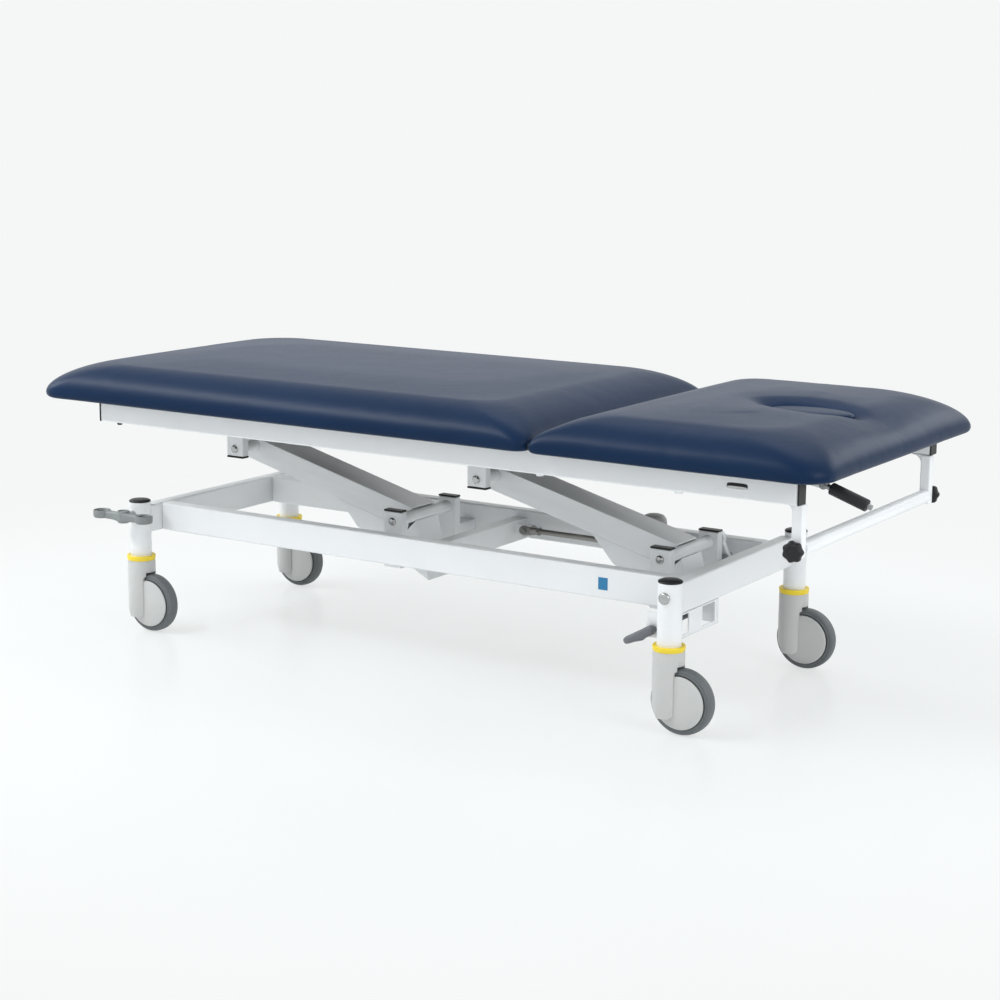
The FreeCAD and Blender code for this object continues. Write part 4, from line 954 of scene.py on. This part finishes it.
# Plug in the face hole: an oval of foam covered in the same vinyl. It is pushed in by hand,
# lifts straight out, and stands a little below the rim.
PLUG_LONG = 0.0860
PLUG_WIDE = 0.0460
PLUG_SIDES = 64
plug_build = bmesh.new()
PLUG_LEVELS = [
    (0.97, 0.5128),
    (1.0, 0.5165),
    (1.0, 0.5690),
    (0.994, 0.5722),
    (0.98, 0.5742),
    (0.95, 0.5758),
    (0.88, 0.5772),
    (0.70, 0.5788),
    (0.45, 0.5798),
    (0.20, 0.5802),
]
plug_loops = []
for share, height in PLUG_LEVELS:
    loop = []
    for index in range(PLUG_SIDES):
        angle = 2 * math.pi * index / PLUG_SIDES
        x = HOLE_X + PLUG_LONG * share * math.cos(angle)
        y = PLUG_WIDE * share * math.sin(angle)
        loop.append(plug_build.verts.new((x, y, height)))
    plug_loops.append(loop)
skin(plug_build, plug_loops)
plug_mesh = bpy.data.meshes.new("oval_plug")
plug_build.to_mesh(plug_mesh)
plug_build.free()
for polygon in plug_mesh.polygons:
    polygon.use_smooth = True
plug = put("oval_plug", plug_mesh, "plug", navy_vinyl, ["breathing_plug"])


# Head frame, gas strut and release lever under the head section: coated bars that carry
# the board, a black strut with a bright rod between two lugs, and a steel lever with a
# black grip.
dressed("head_frame", "head", white_coat, 0.001)
coat_node("strut_head_lug", white_coat)
coat_node("strut_cylinder", black_plastic)
coat_node("strut_rod", plated_steel)
lever_steel = finish("lever_steel", (0.30, 0.31, 0.31), 0.3, 0.003, 0.00002, 0.1, metal=0.9)
coat_node("release_lever", lever_steel)
dressed("lever_grip", "release_lever", black_plastic, 0.002, 4)


# Paper roll holder: two square posts under the rails, a white bar between them, and a black
# knob with soft lobes screwed on from each outer side.
bars("paper_posts", "top", white_coat, 0.0025)
coat_node("paper_bar", white_coat)
GUSSET_RADIUS = 0.020
GUSSET_HALF = 0.007
GUSSET_STEPS = 10
POST_SIDE_X = 0.8095
POST_TOP_Z = 0.4625
for side, y in (("near", -0.297), ("far", 0.297)):
    gusset = bmesh.new()
    edge = []
    for step in range(GUSSET_STEPS + 1):
        angle = math.radians(90 * step / GUSSET_STEPS)
        x = POST_SIDE_X - GUSSET_RADIUS + GUSSET_RADIUS * math.sin(angle)
        z = POST_TOP_Z - GUSSET_RADIUS + GUSSET_RADIUS * math.cos(angle)
        edge.append((x, z))
    edge.append((POST_SIDE_X, POST_TOP_Z))
    front = [gusset.verts.new((x, y - GUSSET_HALF, z)) for x, z in edge]
    back = [gusset.verts.new((x, y + GUSSET_HALF, z)) for x, z in edge]
    skin(gusset, [front, back])
    close_piece("post_gusset_" + side, gusset, "top", white_coat)
KNOB_LOBES = 7
KNOB_SIDES = 84
KNOB_RADIUS = 0.0187
LOBE_SWELL = 0.0012
KNOB_X = 0.819
KNOB_Z = 0.381
KNOB_RINGS = [
    (0.55, 0.3074),
    (0.62, 0.3085),
    (0.62, 0.3115),
    (0.90, 0.3125),
    (0.98, 0.3150),
    (1.00, 0.3190),
    (0.97, 0.3230),
    (0.88, 0.3258),
    (0.72, 0.3270),
    (0.50, 0.3272),
    (0.46, 0.3262),
    (0.05, 0.3262),
]


def hand_knob(name, body, side, node):
    # a turned knob whose rim swells into soft lobes
    build = bmesh.new()
    loops = []
    for share, height in KNOB_RINGS:
        loop = []
        for index in range(KNOB_SIDES):
            angle = 2 * math.pi * index / KNOB_SIDES
            lobe = KNOB_RADIUS + LOBE_SWELL * math.cos(KNOB_LOBES * angle)
            x = KNOB_X + lobe * share * math.cos(angle)
            z = KNOB_Z + lobe * share * math.sin(angle)
            loop.append(build.verts.new((x, side * height, z)))
        loops.append(loop)
    skin(build, loops)
    close_piece(name, build, body, black_plastic, [node], 50)


hand_knob("lobed_knob_near", "knob_near", -1, "knob_near")
hand_knob("lobed_knob_far", "knob_far", 1, "knob_far")


# Foot brake: one moulded grey treadle across the near end of a plated bar, with an open cup
# at each end for the toe and a round boss where it grips the bar.
pedal_grey = finish("pedal_grey", (0.215, 0.230, 0.228), 0.45, 0.001, 0.00008, 0.05)
TREADLE_X = CORNERS["foot_near"][0]
TREADLE_Z = 0.258
TREADLE_Y = -0.308
CUP_RINGS = [
    (0.0110, -0.0088),
    (0.0165, -0.0084),
    (0.0184, -0.0066),
    (0.0190, -0.0025),
    (0.0192, 0.0056),
    (0.0187, 0.0074),
    (0.0174, 0.0080),
    (0.0160, 0.0072),
    (0.0152, 0.0044),
    (0.0146, 0.0014),
    (0.0126, 0.0002),
    (0.0010, 0.0000),
]
CUP_PLACES = (-0.062, 0.058)
ARM_START = -0.052
ARM_LENGTH = 0.100
ARM_STEPS = 24
ARM_HALF_WIDTH = 0.0092
ARM_HALF_HEIGHT = 0.0084
ARM_DROP = 0.001
BOSS_WIDTH = 0.0040
BOSS_HEIGHT = 0.0036
BOSS_SPREAD = 0.016
treadle = bmesh.new()
for reach in CUP_PLACES:
    lathe(treadle, CUP_RINGS, Vector((TREADLE_X + reach, TREADLE_Y, TREADLE_Z)))
treadle_sections = []
for step in range(ARM_STEPS + 1):
    along = ARM_START + ARM_LENGTH * step / ARM_STEPS
    swell_up = math.exp(-((along / BOSS_SPREAD) ** 2))
    across = Vector((0, ARM_HALF_WIDTH + BOSS_WIDTH * swell_up, 0))
    rise = Vector((0, 0, ARM_HALF_HEIGHT + BOSS_HEIGHT * swell_up))
    middle = Vector((TREADLE_X + along, TREADLE_Y, TREADLE_Z - ARM_DROP))
    treadle_sections.append((middle, across, rise))
loft(treadle, treadle_sections, power=4)
BOSS_RINGS = [
    (0.0100, -0.0140),
    (0.0125, -0.0130),
    (0.0135, -0.0090),
    (0.0135, 0.0105),
    (0.0128, 0.0122),
    (0.0108, 0.0124),
    (0.0100, 0.0112),
    (0.0095, 0.0080),
    (0.0010, 0.0076),
]
lathe(treadle, BOSS_RINGS, Vector((TREADLE_X, TREADLE_Y, TREADLE_Z)))
close_piece("foot_treadle", treadle, "foot_brake", pedal_grey, ["foot_pedal"])
coat_node("foot_brake_bar", plated_steel)


# Head brake: a folded white bracket under the head cross rail holds a dark shaft, and a
# dark grey moulded blade on its near end is pressed by foot.
blade_grey = finish("brake_blade_grey", (0.135, 0.14, 0.155), 0.42, 0.001, 0.00008, 0.06)
dark_steel = finish("dark_blued_steel", (0.10, 0.105, 0.12), 0.4, 0.002, 0.00003, 0.15, metal=0.7)
dressed("pedal_bracket", "base", white_coat, 0.0008)
coat_node("head_brake_shaft", dark_steel)
BLADE_HUB = Vector((0.509, -0.253, 0.181))
BLADE_ANGLE = math.radians(28)
blade_way = Vector((-math.cos(BLADE_ANGLE), 0, -math.sin(BLADE_ANGLE)))
blade_up = Vector((-math.sin(BLADE_ANGLE), 0, math.cos(BLADE_ANGLE)))
BLADE_SHAPE = [
    (-0.0100, 0.0, 0.0030, 0.0040),
    (-0.0080, 0.0, 0.0065, 0.0075),
    (-0.0030, 0.0, 0.0090, 0.0086),
    (0.0060, 0.0, 0.0093, 0.0086),
    (0.0160, -0.0004, 0.0090, 0.0086),
    (0.0230, -0.0016, 0.0100, 0.0092),
    (0.0290, -0.0012, 0.0094, 0.0100),
    (0.0380, -0.0004, 0.0082, 0.0118),
    (0.0470, 0.0, 0.0078, 0.0126),
    (0.0530, 0.0, 0.0072, 0.0120),
    (0.0575, 0.0, 0.0058, 0.0095),
    (0.0600, 0.0, 0.0036, 0.0060),
    (0.0608, 0.0, 0.0010, 0.0020),
]
blade = bmesh.new()
blade_sections = []
for along, lift, half_up, half_y in BLADE_SHAPE:
    middle = BLADE_HUB + blade_way * along + blade_up * lift
    blade_sections.append((middle, Vector((0, half_y, 0)), blade_up * half_up))
loft(blade, blade_sections, power=3)
close_piece("brake_blade", blade, "head_brake", blade_grey, ["head_pedal"], 60)
